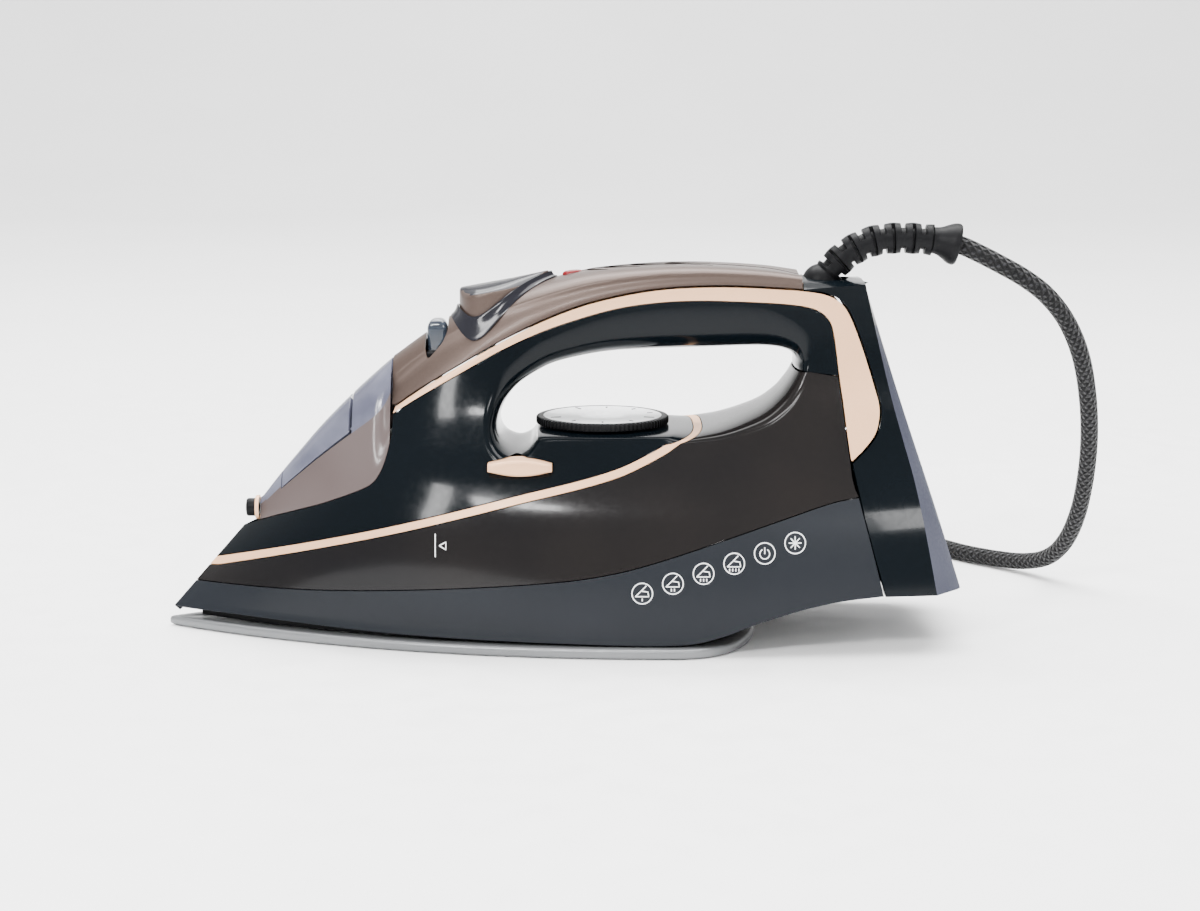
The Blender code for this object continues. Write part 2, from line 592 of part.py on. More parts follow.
def tank_shell(name, side, bottom, top, seam, roll_rows, port):
    """The tank's closed outer surface; the small faces where roof and saddle meet are filled."""
    bm = bmesh.new()
    for rows in (side, bottom, top, seam, roll_rows):
        for sign in (1, -1):
            verts, faces = grid([[(p[0], sign * p[1], p[2]) for p in row] for row in rows])
            made = [bm.verts.new(v) for v in verts]
            for f in faces:
                bm.faces.new([made[i] for i in f])
    bmesh.ops.remove_doubles(bm, verts=bm.verts, dist=0.05)
    bmesh.ops.dissolve_degenerate(bm, edges=bm.edges, dist=0.01)
    rim = [e for e in bm.edges if len(e.link_faces) == 1]
    bmesh.ops.holes_fill(bm, edges=rim, sides=0)
    bmesh.ops.triangulate(bm, faces=[f for f in bm.faces if len(f.verts) > 4])
    bmesh.ops.recalc_face_normals(bm, faces=bm.faces)
    gone = [f for f in bm.faces if port(f.calc_center_median())]
    bmesh.ops.delete(bm, geom=gone, context="FACES")
    bm.verts.index_update()
    outer = [np.array(v.co) for v in bm.verts]
    inner = []
    for v in bm.verts:
        normals = np.array([f.normal for f in v.link_faces])
        pull = normals.T @ normals + 0.01 * np.eye(3)
        inner.append(np.array(v.co) - WALL * np.linalg.solve(pull, normals.sum(axis=0)))
    count = len(outer)
    faces = []
    for f in bm.faces:
        ring = [v.index for v in f.verts]
        faces.append(ring)
        faces.append([i + count for i in reversed(ring)])
    for e in bm.edges:
        if len(e.link_faces) == 1:
            a, b = e.verts[0].index, e.verts[1].index
            faces.append([a, b, b + count, a + count])
    bm.free()
    tank = solid(name, outer + inner, faces, "smoky_plastic")
    cut(tank, SHAFT_CUT)
    cut(tank, NEEDLE_CUT)


# ---------------------------------------------------------------- housing, handle and nose
RIM_STEPS = 20
ROW_STEPS = (0, 0.33, 0.67, 1.0)


def housing_patch(border, places, rim):
    """The side surface from a border to the opening's rim, and over the rim to y = 0."""
    rows = [[] for _ in ROW_STEPS]
    rolls = [[] for _ in ROLL_STEPS]
    for edge, place in zip(border, places):
        station = rim[int(round(place * RIM_STEPS))]
        for row, f in zip(rows, ROW_STEPS):
            row.append(side_point(edge + (station[:2] - edge) * f))
        for row, p in zip(rolls, roll(station[:2], station[2:], ROLL_STEPS)):
            row.append(p)
    return [rows + rolls]


def make_housing():
    rim = dense_spline([(*pair[0], *pair[1]) for pair in HOUSING_RIM], RIM_STEPS)
    lower = np.vstack([shifted(trim_high, GAP / 2), HOUSING_RIM[0][0]])[::-1]
    lower[-1] = on_nose(lower[-1])
    window = shifted(WINDOW_EDGE, -GAP / 2)
    ribbon = shifted(ribbon_low[:RIBBON_AT_SEAM + 1], -GAP / 2)
    ribbon[-1] += (0, GAP / 2)
    # from the gold line up to the opening's floor and the foot of the front pillar
    patches = housing_patch(lower[:8], [0, 0.8, 1.6, 2.3, 3.2, 4.6, 6.0, 7.5], rim)
    # from the window's rear edge and the ribbon to the front pillar and the grip
    upper_border = np.vstack([window[WINDOW_CORNER:WINDOW_TOP + 1], ribbon])
    places = [7.5, 8.0, 8.6, 9.2, 10, 10.7, 11.4, 12.0, 12.6, 13.4, 14.2, 15.1, 16, 16.8, 17.5, 18.1,
              18.5, 18.9, 19.2, 19.5, 20]
    patches += housing_patch(upper_border, places, rim)
    # the tail between the gold line and the window, out to the nose
    start = rim[int(7.5 * RIM_STEPS)][:2]
    corner = window[WINDOW_CORNER]
    bridge = [start + (corner - start) * (1 - f) for f in ROW_STEPS[::-1]]
    tail_top = np.vstack([bridge, window[WINDOW_CORNER - 1::-1], on_nose((0, 42.0))])
    tail_low = lower[7:]
    rows = []
    for f in ROW_STEPS:
        line = [side_point(a + (b - a) * f) for a, b in zip(tail_low, tail_top)]
        line[-1][1] = 0.0
        rows.append(line)
    patches.append(rows)

    def well(c):
        return abs(c.x - DIAL_X) < 11 and abs(c.y) < 12 and 70 < c.z < 90

    housing = shell("front_housing", patches, "black_gloss", skip=well)
    cut(housing, SELF_CLEAN_CUT)

    low = shifted(ribbon_low, GAP / 2)
    high = shifted(ribbon_high, -GAP)
    for name, side in (("handle_trim_left", 1), ("handle_trim_right", -1)):
        outer = []
        inner = []
        for a, b in zip(low, high):
            for line, point in ((outer, a), (outer, b), (inner, a), (inner, b)):
                p = side_point(point)
                depth = 0.0 if line is outer else 0.9
                line.append((p[0], side * (p[1] + depth), p[2]))
        loops = [[outer[2 * k], outer[2 * k + 1], inner[2 * k + 1], inner[2 * k]] for k in range(len(low))]
        stack(name, loops, "rose_gold")


def make_handle_top():
    steps = (0, 0.14, 0.3, 0.48, 0.66, 0.83, 1)
    xs = list(ribbon_high[:RIBBON_AT_COVER_END + 1, 0])
    xs[0] = -65.0
    sections = [cover_section(x - (GAP if x > 95 else 0), steps) for x in xs]
    rows = [[section[j] for section in sections] for j in range(len(steps))]
    cover = shell("handle_top_cover", [rows], "taupe_metallic", 1.8)
    cut(cover, cutter("button_hole", prism(teardrop(2.8), 110, 160)))
    cut(cover, cutter("slider_slot", prism(box_outline(NEEDLE_X, 0, 4.5, 10.4), 100, 140)))
    cut(cover, cutter("lamp_hole", prism(disc(6, 0, 2.6, 10), 130, 160)))

    def section(x, part):
        low = along(WINDOW_EDGE, x) + GAP / 2
        return bezier_section((x, low), (x, along(NOSE_RIDGE, x)), part)

    low_part = (0, 0.15, 0.3, 0.45)
    high_part = (0.45, 0.62, 0.8, 1)
    door_part = (0.475, 0.62, 0.8, 1)
    xs = (-121.4, -117.0, -112.4, -108, -103.7, -99.5, -95, -88.6, -82.3, -78, -74.1, -70.8, -68.8, -67.4)
    front, rear = xs.index(-112.4) + 1, xs.index(-82.3)
    patches = []
    for places, part in ((xs, low_part), (xs[:front], high_part), (xs[rear:], high_part)):
        lines = [section(x, part) for x in places]
        patches.append([[line[j] for line in lines] for j in range(4)])
    shell("nose_window", patches, "window_plastic", 1.8)
    lines = [section(x, door_part) for x in (-112.0,) + xs[front:rear] + (-83.7,)]
    door = shell("fill_door", [[[line[j] for line in lines] for j in range(4)]], "window_plastic", 1.8)
    move_origin(door, DOOR_PIVOT)
    cut(door, cutter("pin_hole", bar_along_y(DOOR_PIVOT[0], DOOR_PIVOT[2], 1.15, 4.6)))
    turned("door_pin", [(0.8, -4), (0.8, 4)], "steel", DOOR_PIVOT, "Y", 8)


def move_origin(obj, place):
    """Put the origin of an object made at the world's origin somewhere else, without moving it."""
    offset = Vector(place) * MM
    obj.data.transform(Matrix.Translation(-offset))
    obj.location = offset


def teardrop(offset, count=14):
    """Plan outline of the thumb buttons together: blunt in front, drawn out to a tip at the rear."""
    near = []
    for k in range(count + 1):
        s = 0.5 - 0.5 * cos(pi * k / count)
        x = BUTTON_FRONT_X + (BUTTON_TIP_X - BUTTON_FRONT_X) * s
        near.append((x, -button_half_width(x)))
    line = np.array(near + [(x, -y) for x, y in near[-2:0:-1]])
    centre = np.array([BUTTON_FRONT_X + 14, 0])
    out = line - centre
    return [tuple(p) for p in line + offset * out / np.linalg.norm(out, axis=1)[:, None]]


def button_half_width(x):
    s = (x - BUTTON_FRONT_X) / (BUTTON_TIP_X - BUTTON_FRONT_X)
    if s < 0.3:
        return BUTTON_HALF_WIDTH * sqrt(max(0, 1 - (1 - s / 0.3) ** 2.4))
    return BUTTON_HALF_WIDTH * (1 - ((s - 0.3) / 0.7) ** 1.7)


def button_height(x, y):
    middle = np.interp(x, [-39.5, -30, -18, -4], [139.3, 141.0, 143.2, 146.2])
    wide = max(button_half_width(x), 3.0)
    return middle - 3.6 * min(1, abs(y) / wide) ** 2.2 * min(1, wide / 8)


# ---------------------------------------------------------------- controls
def make_controls():
    outline = teardrop(0.0)
    half = len(outline) // 2
    for name, side in (("spray_button", -1), ("steam_button", 1)):
        plan = []
        for x, y in outline[1:half]:
            plan.append((x, y * 0.985))
        plan.append((outline[half][0] - 1.5, -0.35))
        plan += [(x, -0.35) for x in (-8, -16, -24, -32)]
        plan.append((outline[0][0] + 0.3, -0.35))
        top = [(x, -side * y, button_height(x, y)) for x, y in plan]
        low = [(x, -side * y, 126.0 + 0.42 * (x + 39.5)) for x, y in plan]
        stack(name, [low, top], "taupe_metallic", origin=(-28, side * 6, 126))
    inner = teardrop(0.7)
    loops = []
    for offset, drop in ((0.7, -4.0), (0.7, 1.6), (1.5, 1.6), (4.2, 0.8), (2.2, 0.8), (2.2, -4.0)):
        loop = []
        for (x, y), (bx, by) in zip(teardrop(offset), inner):
            edge = min(max(x, -44.0), 8.0)
            loop.append((x, y, cover_height(edge, y) + drop))
        loops.append(loop)
    stack("button_collar", loops, "smoke_grey", True)

    for name, side in (("spray", -1), ("steam", 1)):
        y = side * 6.0
        turned(name + "_pump", [(4.6, 0), (4.6, 16), (3.0, 16), (3.0, 2), (0.01, 2)], "white_plastic",
               (-28, y, 98.5), sides=12)
        turned(name + "_piston", [(2.6, 0), (2.6, 9), (1.6, 9), (1.6, 22.8)], "white_plastic",
               (-28, y, 107.0), sides=12)
        spring(name + "_spring", (-28, y, 118.0), 3.4, 11.0, 0.8, 4)

    knob = [[(NEEDLE_X + u, v, z) for u, v in box_outline(0, 0, a, b)]
            for a, b, z in ((3.9, 5.2, 114.4), (3.9, 5.2, 124.6), (3.4, 4.8, 126.0), (2.2, 3.8, 126.9))]
    stack("steam_slider", knob, "blue_clear", origin=(NEEDLE_X, 0, 120))
    block("slider_bed", (NEEDLE_X - 4.2, -8.6, 111.6), (NEEDLE_X + 4.2, 8.6, 114.0), "black_plastic", 0.4)
    turned("valve_needle", [(0.4, 0), (NEEDLE_RADIUS, 3), (NEEDLE_RADIUS, 94.5)], "steel",
           (NEEDLE_X, 0, 15.2), sides=8)
    turned("valve_seat", [(2.1, 0), (2.1, 5), (4.1, 5), (4.1, 0)], "silicone", (NEEDLE_X, 0, 22.6),
           sides=12, closed=True)
    spring("valve_spring", (NEEDLE_X, 0, 54.0), 2.8, 16.0, 0.8, 4)
    turned("shaft_sleeve", [(4.2, 0), (4.2, 43), (6.3, 43), (6.3, 0)], "smoky_plastic",
           (DIAL_X, 0, 28.2), sides=14, closed=True)

    turned("temperature_dial", [(DIAL_RADIUS - 1.2, 0), (DIAL_RADIUS, 0.6), (DIAL_RADIUS, 2.7),
                                (DIAL_RADIUS - 1.0, 3.2), (9.0, 2.5), (7.5, 1.6), (0.01, 1.6)],
           "black_plastic", (DIAL_X, 0, DIAL_BOTTOM_Z), sides=36)
    turned("pilot_lens", [(2.2, 0), (2.2, 4.6), (0.9, 5.6)], "red_lens", (6, 0, 140.6), sides=10)
    turned("pilot_lamp", [(1.3, 0), (1.3, 7)], "white_plastic", (6, 0, 133.2), sides=8)
    clean = []
    for y, grow in ((-40.5, 0.72), (-39.5, 1.0), (-29.0, 1.0)):
        clean.append([(SELF_CLEAN[0] + u * grow, y, SELF_CLEAN[1] + v * grow) for u, v in lens_outline()])
    stack("self_clean_button", clean, "rose_gold", origin=(SELF_CLEAN[0], -34, SELF_CLEAN[1]))
    spring("self_clean_spring", (SELF_CLEAN[0], -28.6, SELF_CLEAN[1]), 1.6, 5.5, 0.6, 4, "Y")
    block("control_board", (60, -10, 124.0), (90, 10, 125.6), "board_green", 0.2)
    block("terminal_block", (101, -8, 112), (109.5, 8, 121), "white_plastic")


SELF_CLEAN = (-14.4, 72.2)


def lens_outline(half_x=12.6, half_z=3.3, count=9):
    """A lens shape with blunt ends."""
    top = [(-half_x + 2 * half_x * k / (count - 1),
            half_z * (0.42 + 0.58 * sin(pi * k / (count - 1)))) for k in range(count)]
    return top + [(x, -z) for x, z in top[::-1]]


def make_front():
    turned("spray_nozzle", [(2.9, 0), (3.7, 0.5), (3.7, 5.2), (2.0, 5.2), (2.0, 3.0), (0.9, 3.0), (0.9, 0)],
           "black_plastic", (-127.4, 0, 49.3), "X", 14, True)
    turned("nozzle_base", [(4.1, 0), (5.2, 0.3), (5.2, 3.6), (4.1, 3.6)], "rose_gold", (-125.6, 0, 49.3),
           "X", 16, True)
    tube("spray_tube", spline([(-119.6, 0, 49.3), (-114, -3.6, 49.4), (-108, -8.2, 50.5),
                               (-98, -9.4, 54), (-80, -9, 68), (-60, -8, 88), (-40, -7, 98),
                               (-34.2, -6, 100.5)], 16), 2.6, "white_plastic", 1)
    chute = ((-104, 40.4, 3.8, 3.2), (-100.5, 58, 5.2, 4.2))
    loops = []
    for wall, ends in ((1.36, chute), (0.0, chute[::-1])):
        for x, z, a, b in ends:
            loops.append([(x + u, v, z) for u, v in box_outline(0, 0, a + wall, b + wall)])
    stack("fill_chute", loops, "smoky_plastic", True, smooth=False)


# ---------------------------------------------------------------- heel and cord
def make_heel():
    front = [np.array(p, dtype=float) for p in HEEL_FRONT]
    front += [ribbon_high[k] for k in range(len(ribbon_high) - 2, RIBBON_AT_COVER_END - 1, -1)]
    front = shifted(front, -1.2 * GAP)
    front[-1] = (97.4 + GAP / 2, 139.7 + GAP)
    front[0][1] = HEEL_BOTTOM_Z
    rows = []
    last = len(front) - 1
    for k, point in enumerate(front):
        z = {last: 142.0, last - 1: 141.0, last - 2: 138.6}.get(k, point[1])
        edge = np.array([along(CHAMFER_LINE, z, 1, 0), z])
        wide = half_width(*edge)
        middle = (point + edge) / 2
        back = heel_x(z)
        row = [side_point(point), side_point(middle), side_point(edge)]
        row.append(np.array([edge[0] + (back - edge[0]) * 0.86, -wide * 0.76, z]))
        row.append(np.array([back, -wide * 0.70, z]))
        row.append(np.array([back, 0, z]))
        rows.append(row)
    floor = [rows[0], [np.array([p[0], 0, p[2]]) for p in rows[0]]]
    top = rows[-1]
    ridge = [np.array([p[0], 0, along(TOP_RIDGE + [(110, 144.0), (122, 143.0)], p[0])]) for p in top[:3]]
    ridge += [top[-1]] * 3
    cap = [top]
    for f in (0.5, 0.8):
        cap.append([a + (b - a) * f + np.array([0, 0, (b[2] - a[2]) * 0.3 * (1 - f)])
                    for a, b in zip(top, ridge)])
    cap.append(ridge)
    heel = shell("rear_cover", [rows, floor, cap[:4]], "black_gloss")
    for name, side in (("heel_screw_left", -1), ("heel_screw_right", 1)):
        turned(name, [(2.0, 0), (3.2, 0.6), (3.2, 1.8), (1.4, 1.8), (1.4, 10)], "steel",
               (140, side * 28, HEEL_BOTTOM_Z - 2.2), sides=10)
        cut(heel, cutter(name + "_hole", prism(disc(140, side * 28, 2.0, 10), 20, 27)))
    cut(heel, cutter("ball_hole", prism(disc(BALL_X + 2.0, 0, 9.5, 20), 130, 160)))


def make_cord():
    ball = [(1.7, -6.9), (5.0, -5.2), (6.9, -2.2), (7.2, 0), (6.9, 2.2), (5.2, 5.0), (3.8, 6.1)]
    turned("cord_ball", ball, "black_plastic", (BALL_X, 0, BALL_Z), sides=20)
    route = [(BALL_X + 5.6, 0, BALL_Z + 6.4), (113.8, 0, 150.7), (117.6, 0, 153.8), (125.3, 0, 157.5),
             (133.3, 0, 158.9), (141.3, 0, 159.0), (149.3, 0, 158.4), (155.3, 0, 157.5), (160.6, 0, 156.4)]
    line = spline(route, 17)
    radii = [5.4, 6.1, 5.2, 6.1, 5.2, 6.1, 5.2, 6.1, 5.2, 6.1, 5.2, 6.1, 5.2, 6.1, 6.6, 7.6, 8.1]
    guard_loops = []
    tangent = np.gradient(line, axis=0)
    for p, t, r in zip(line, tangent, radii):
        t = t / np.linalg.norm(t)
        up = np.cross(t, (0, 1, 0))
        guard_loops.append([tuple(p + r * (np.array([0, 1, 0]) * cos(a) - up * sin(a)))
                            for a in np.arange(14) * 2 * pi / 14])
    stack("cord_guard", guard_loops, "black_plastic", origin=(BALL_X, 0, BALL_Z))
    block("cord_clamp", (BALL_X - 4, -7, 125.5), (BALL_X + 4, 7, 130.5), "white_plastic")

    tube("power_cord", spline(CORD_ROUTE, 60), CORD_DIAMETER, "cord_textile", 2)
    tail = []
    for f in np.linspace(0, 1, 11):
        rise = 0.5 - 0.5 * cos(pi * f)
        tail.append((90.5 - TAIL_LENGTH_X * f, 193.8 - 0.8 * f, 11.3 + (PLUG_FACE[2] - 11.3) * rise))
    tube("cord_tail", tail, CORD_DIAMETER, "cord_textile", 2)
    middle = COIL_MEAN_DIAMETER / 2
    inner, outer = middle - COIL_HALF_WIDTH, middle + COIL_HALF_WIDTH
    turned("cord_coil", [(inner, 2.3), (inner + 2, 0.3), (outer - 2, 0.3), (outer, 2.3),
                         (outer, COIL_HEIGHT - 2), (outer - 2, COIL_HEIGHT), (inner + 2, COIL_HEIGHT),
                         (inner, COIL_HEIGHT - 2)], "cord_textile", (*COIL_CENTRE, 0), sides=36, closed=True)

    # the tie is a clip, open below, over the bundle of turns
    inside = COIL_HALF_WIDTH + 0.8
    outside = inside + 1.6
    clip = [(-outside, 0.4), (-outside, COIL_HEIGHT), (-outside + 2, COIL_HEIGHT + 2.0),
            (outside - 2, COIL_HEIGHT + 2.0), (outside, COIL_HEIGHT), (outside, 0.4), (inside, 0.4),
            (inside, COIL_HEIGHT - 0.4), (inside - 1, COIL_HEIGHT + 0.4), (-inside + 1, COIL_HEIGHT + 0.4),
            (-inside, COIL_HEIGHT - 0.4), (-inside, 0.4)]
    loops = []
    for slide in (-5.0, 5.0):
        loop = []
        for u, z in clip:
            r = middle + u
            loop.append((COIL_CENTRE[0] + r * cos(TIE_ANGLE) - slide * sin(TIE_ANGLE),
                         COIL_CENTRE[1] + r * sin(TIE_ANGLE) + slide * cos(TIE_ANGLE), z))
        loops.append(loop)
    stack("cord_tie", loops, "black_plastic", origin=(*COIL_CENTRE, 0), smooth=False)

    x, y, z = PLUG_FACE
    turned("plug_body", [(9, 0), (18.6, 1.0), (19.0, 2.5), (19.0, 14), (15.5, 26), (10.5, 33), (7.2, 38),
                         (5.0, 57), (4.0, 57.3), (4.0, 55.8)], "black_plastic", PLUG_FACE, "X", 18)
    for name, side in (("plug_pin_left", -9.5), ("plug_pin_right", 9.5)):
        turned(name, [(1.8, -19), (2.4, -17.6), (2.4, 0.0)], "steel", (x - 0.3, y + side, z), "X", 10)


# ---------------------------------------------------------------- the whole iron
for old in list(bpy.data.objects):
    bpy.data.objects.remove(old)

MATERIALS = {}
for slot, (colour, roughness, metallic) in COLOURS.items():
    material = bpy.data.materials.new(slot)
    material.use_nodes = True
    shader = material.node_tree.nodes["Principled BSDF"]
    shader.inputs["Base Color"].default_value = (*colour, 1)
    shader.inputs["Roughness"].default_value = roughness
    shader.inputs["Metallic"].default_value = metallic
    MATERIALS[slot] = material

NEEDLE_CUT = cutter("needle_hole", prism(disc(NEEDLE_X, 0, 4.5, 12), 13, 60))
SHAFT_CUT = cutter("shaft_hole", prism(disc(DIAL_X, 0, 6.8, 14), 15, 80))
SELF_CLEAN_CUT = cutter("self_clean_hole", ([(SELF_CLEAN[0] + u * 1.05, y, SELF_CLEAN[1] + v * 1.14)
                                             for y in (-45, -20) for u, v in lens_outline()],
                                            [tuple(range(18))[::-1], tuple(range(18, 36))]
                                            + [(k, (k + 1) % 18, (k + 1) % 18 + 18, k + 18)
                                               for k in range(18)]))

make_sole()
make_lower_body()
make_housing()
make_handle_top()
make_controls()
make_front()
make_heel()
make_cord()
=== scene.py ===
"""Steam iron: fine surfaces, procedural materials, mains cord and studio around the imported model.

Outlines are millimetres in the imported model's own frame until solid() turns them into metres: +Z is up,
the sole lies on z = 0, the nose points to -X and the shell is symmetric about y = 0.
"""
import json
from math import cos, hypot, pi, radians, sin, sqrt

import bmesh
import bpy
import numpy as np
from mathutils import Euler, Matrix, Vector


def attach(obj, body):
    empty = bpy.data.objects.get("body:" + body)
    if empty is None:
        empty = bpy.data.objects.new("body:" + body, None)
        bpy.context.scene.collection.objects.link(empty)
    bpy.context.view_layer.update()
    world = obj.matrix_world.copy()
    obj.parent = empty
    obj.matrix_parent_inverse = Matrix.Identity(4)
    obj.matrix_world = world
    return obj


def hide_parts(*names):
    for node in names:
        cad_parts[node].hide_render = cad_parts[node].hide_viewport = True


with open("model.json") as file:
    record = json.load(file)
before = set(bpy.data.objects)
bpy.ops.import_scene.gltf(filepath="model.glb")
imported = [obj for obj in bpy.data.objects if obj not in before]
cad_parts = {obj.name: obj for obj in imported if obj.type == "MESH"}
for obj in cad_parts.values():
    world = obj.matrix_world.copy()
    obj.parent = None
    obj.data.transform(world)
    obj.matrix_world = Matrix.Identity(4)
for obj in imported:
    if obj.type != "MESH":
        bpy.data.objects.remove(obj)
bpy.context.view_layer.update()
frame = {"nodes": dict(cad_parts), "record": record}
MM = 0.001

# ---------------------------------------------------------------- driving dimensions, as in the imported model
SOLE_NOSE_X = -160.0
SOLE_WIDEST_X = 45.0
SOLE_REAR_X = 80.0
SOLE_HALF_WIDTH = 58.4
BODY_HALF_WIDTH = 55.0
NOSE_X_AT_FLOOR = -165.5
NOSE_SLOPE = 0.88
HEEL_X = 160.0
HEEL_BOTTOM_Z = 23.0
HEEL_SLOPE = 0.318
WALL = 2.2
GAP = 0.4
ROLL_POWER = 0.7
DIAL_X = 18.0
DIAL_RADIUS = 27.0
DIAL_BOTTOM_Z = 84.4
PEDESTAL_Z = 83.9
NEEDLE_X = -48.4
BUTTON_FRONT_X = -39.5
BUTTON_TIP_X = -3.5
BUTTON_HALF_WIDTH = 12.6
BALL_X = 105.5
BALL_Z = 141.5
CORD_DIAMETER = 7.4
COIL_CENTRE = (119.0, 142.0)
COIL_MEAN_DIAMETER = 86.0
COIL_HALF_WIDTH = 12.0
COIL_HEIGHT = 15.0
COIL_TURNS = 6
COIL_REST_Z = 3.8
TIE_ANGLE = radians(225)
PLUG_FACE = (-4.0, 193.0, 19.6)
TAIL_LENGTH_X = 36.0
SELF_CLEAN = (-14.4, 72.2)

WIDTH_SHARE = [(0, 1.0), (8, 1.0), (30, 0.965), (50, 0.88), (65, 0.75), (80, 0.575), (95, 0.435),
               (110, 0.36), (130, 0.335), (160, 0.33)]
SKIRT_BOTTOM = [(-158.3, 8.2), (-120, 8.0), (-62, 6.2), (0, 5.2), (46, 4.8), (64, 8.0), (77, 12.8),
                (95, 18.2), (111, 21.5), (127.8, 23.2)]
SKIRT_TOP = [(-149, 19), (-103, 21), (-54, 24.7), (-6, 28.8), (17, 31.8), (40, 37.4), (87, 52.6),
             (107, 58.8), (118.2, 60.9)]
TRIM_LINE = [(-141.3, 27), (-94.5, 39.5), (-61.5, 48.2), (-37.7, 54.5), (-14.2, 60.5), (9.2, 65.9),
             (24.8, 70.3), (36.6, 75.4), (43.4, 78.9)]
TRIM_HALF_HEIGHT = 1.6
SADDLE_RIM = [((48.9, 80.6), (58.4, 84.5)), ((64, 82), (66, 86.4)), ((75.5, 84.6), (74, 89.3)),
              ((85, 88), (82, 93)), ((92.5, 93.6), (88, 97.8)), ((96.5, 99), (91.5, 102)),
              ((99, 103.5), (93.6, 105.2)), ((100.5, 107.4), (94.8, 107.6))]
HOUSING_RIM = [((44.9, 80.6), (54.4, 84.1)), ((40, 82.2), (46, PEDESTAL_Z)), ((20, 82.2), (20, PEDESTAL_Z)),
               ((-3.5, 82.2), (-5, PEDESTAL_Z)), ((-6.2, 80.0), (-8.6, 81.8)), ((-10, 75.0), (-11.6, 78.2)),
               ((-16.6, 71.5), (-16.3, 76.5)), ((-25.2, 75.0), (-21, 79)), ((-29, 82.5), (-23.4, 84)),
               ((-29.2, 90.5), (-23.0, 89.6)), ((-27, 99), (-20.2, 95.8)), ((-23, 106.5), (-15.3, 101.5)),
               ((-14.5, 114), (-7.2, 106.8)), ((-5, 120), (1, 110.3)), ((14, 127.5), (17, 113.6)),
               ((32, 131.5), (33, 114.9)), ((57.3, 133.5), (57.3, 115.7)), ((82.5, 132.5), (81.5, 116.3)),
               ((98, 124), (91.5, 115.0)), ((102, 113), (94.8, 112.2)), ((101, 107.4), (95.2, 108.1))]
WINDOW_EDGE = [(-121.8, 44.9), (-112.4, 48.4), (-103.7, 51.4), (-95, 54.4), (-88.6, 56.9), (-82.3, 59.5),
               (-74.1, 63.5), (-70.2, 68.3), (-67.9, 74.4), (-66.2, 82.5), (-65.3, 91.6), (-64.6, 102),
               (-64.4, 113.0)]
WINDOW_CORNER = 6
WINDOW_TOP = 9
NOSE_RIDGE = [(-121, 53.4), (-113.5, 63), (-105, 73.1), (-96.8, 82.6), (-88.5, 91.2), (-80.2, 99.2),
              (-72, 106.6), (-64.4, 113.0)]
TOP_RIDGE = [(-66.0, 111.8), (-53.6, 120.8), (-38.6, 130.5), (-20, 137.6), (-2.7, 143), (17, 147.2),
             (49, 149), (81, 147.4), (97, 144.6)]
RIBBON = [((-65.7, 90.1), (-65, 93.1)), ((-54.7, 97.1), (-54.8, 100.1)), ((-38.6, 106.5), (-38.7, 109.9)),
          ((-22.6, 115.6), (-22.6, 119.2)), ((-6.7, 123), (-6.7, 127.3)), ((9.1, 128.5), (9.1, 133.5)),
          ((24.9, 132.7), (24.9, 137.6)), ((40.7, 134.9), (40.7, 140.2)), ((56.5, 135.6), (56.5, 141.2)),
          ((72.3, 135.2), (72.2, 141.2)), ((88.1, 134.4), (88.1, 140.4)), ((98, 133.2), (97.4, 139.7)),
          ((104, 131.2), (106.5, 138.2)), ((108, 127.2), (112.7, 134.8)), ((109.6, 122), (116.7, 128.8)),
          ((110.8, 114), (121.7, 116.1)), ((111.8, 106), (126, 102.4)), ((113.2, 96), (128, 94.7)),
          ((114.2, 87), (127.8, 89.1)), ((114.9, 80.5), (126, 83.5)), ((115.4, 76.4), (121.4, 78)),
          ((115.7, 74.2), (116.6, 73.8))]
RIBBON_AT_SEAM = 16
RIBBON_AT_COVER_END = 11
HEEL_FRONT = [(128, 23.2), (126, 31), (123.8, 38.6), (120, 53.3), (118.4, 60.9), (117.1, 67), (115.9, 73.2)]
CHAMFER_LINE = [(148.9, 23), (145.6, 40.7), (142.7, 55.8), (140, 68.7), (136.7, 81.5), (132.8, 96.6),
                (127.2, 120), (122, 142)]
CORD_ROUTE = [(162.6, 0, 155.9), (169, 0, 153.0), (178, 0.5, 148.4), (188, 1.5, 142.8), (198, 4, 135.2),
              (207.3, 9, 124), (214.8, 16, 109), (220, 25, 91), (223.5, 36, 72), (225, 48, 52.5),
              (224.6, 60, 34.5), (222, 72, 20), (217, 84, 10.4), (209, 97, 5.6), (199, 109, 4.1),
              (187.5, 122, 3.8), (179, 135, 3.8)]


# ---------------------------------------------------------------- curves
def dense_spline(points, per_span):
    """Points on a Catmull-Rom curve through the given points, per_span to each span."""
    p = np.array(points, dtype=float)
    ends = np.vstack([2 * p[0] - p[1], p, 2 * p[-1] - p[-2]])
    fine = []
    for i in range(1, len(ends) - 2):
        a, b, c, d = ends[i - 1], ends[i], ends[i + 1], ends[i + 2]
        for t in np.linspace(0, 1, per_span, endpoint=False):
            fine.append(0.5 * (2 * b + (c - a) * t + (2 * a - 5 * b + 4 * c - d) * t * t
                               + (3 * b - a - 3 * c + d) * t ** 3))
    return np.array(fine + [p[-1]])


def run_length(points):
    return np.concatenate([[0], np.cumsum(np.linalg.norm(np.diff(points, axis=0), axis=1))])


def spline(points, count):
    """count points, evenly spaced, on a smooth curve through the given points."""
    fine = dense_spline(points, 24)
    run = run_length(fine)
    at = np.linspace(0, run[-1], count)
    return np.column_stack([np.interp(at, run, fine[:, k]) for k in range(fine.shape[1])])


def along(points, value, key=0, want=1):
    """The want coordinate of an outline where its key coordinate has the given value."""
    p = np.asarray(points, dtype=float)
    p = p[np.argsort(p[:, key])]
    return float(np.interp(value, p[:, key], p[:, want]))


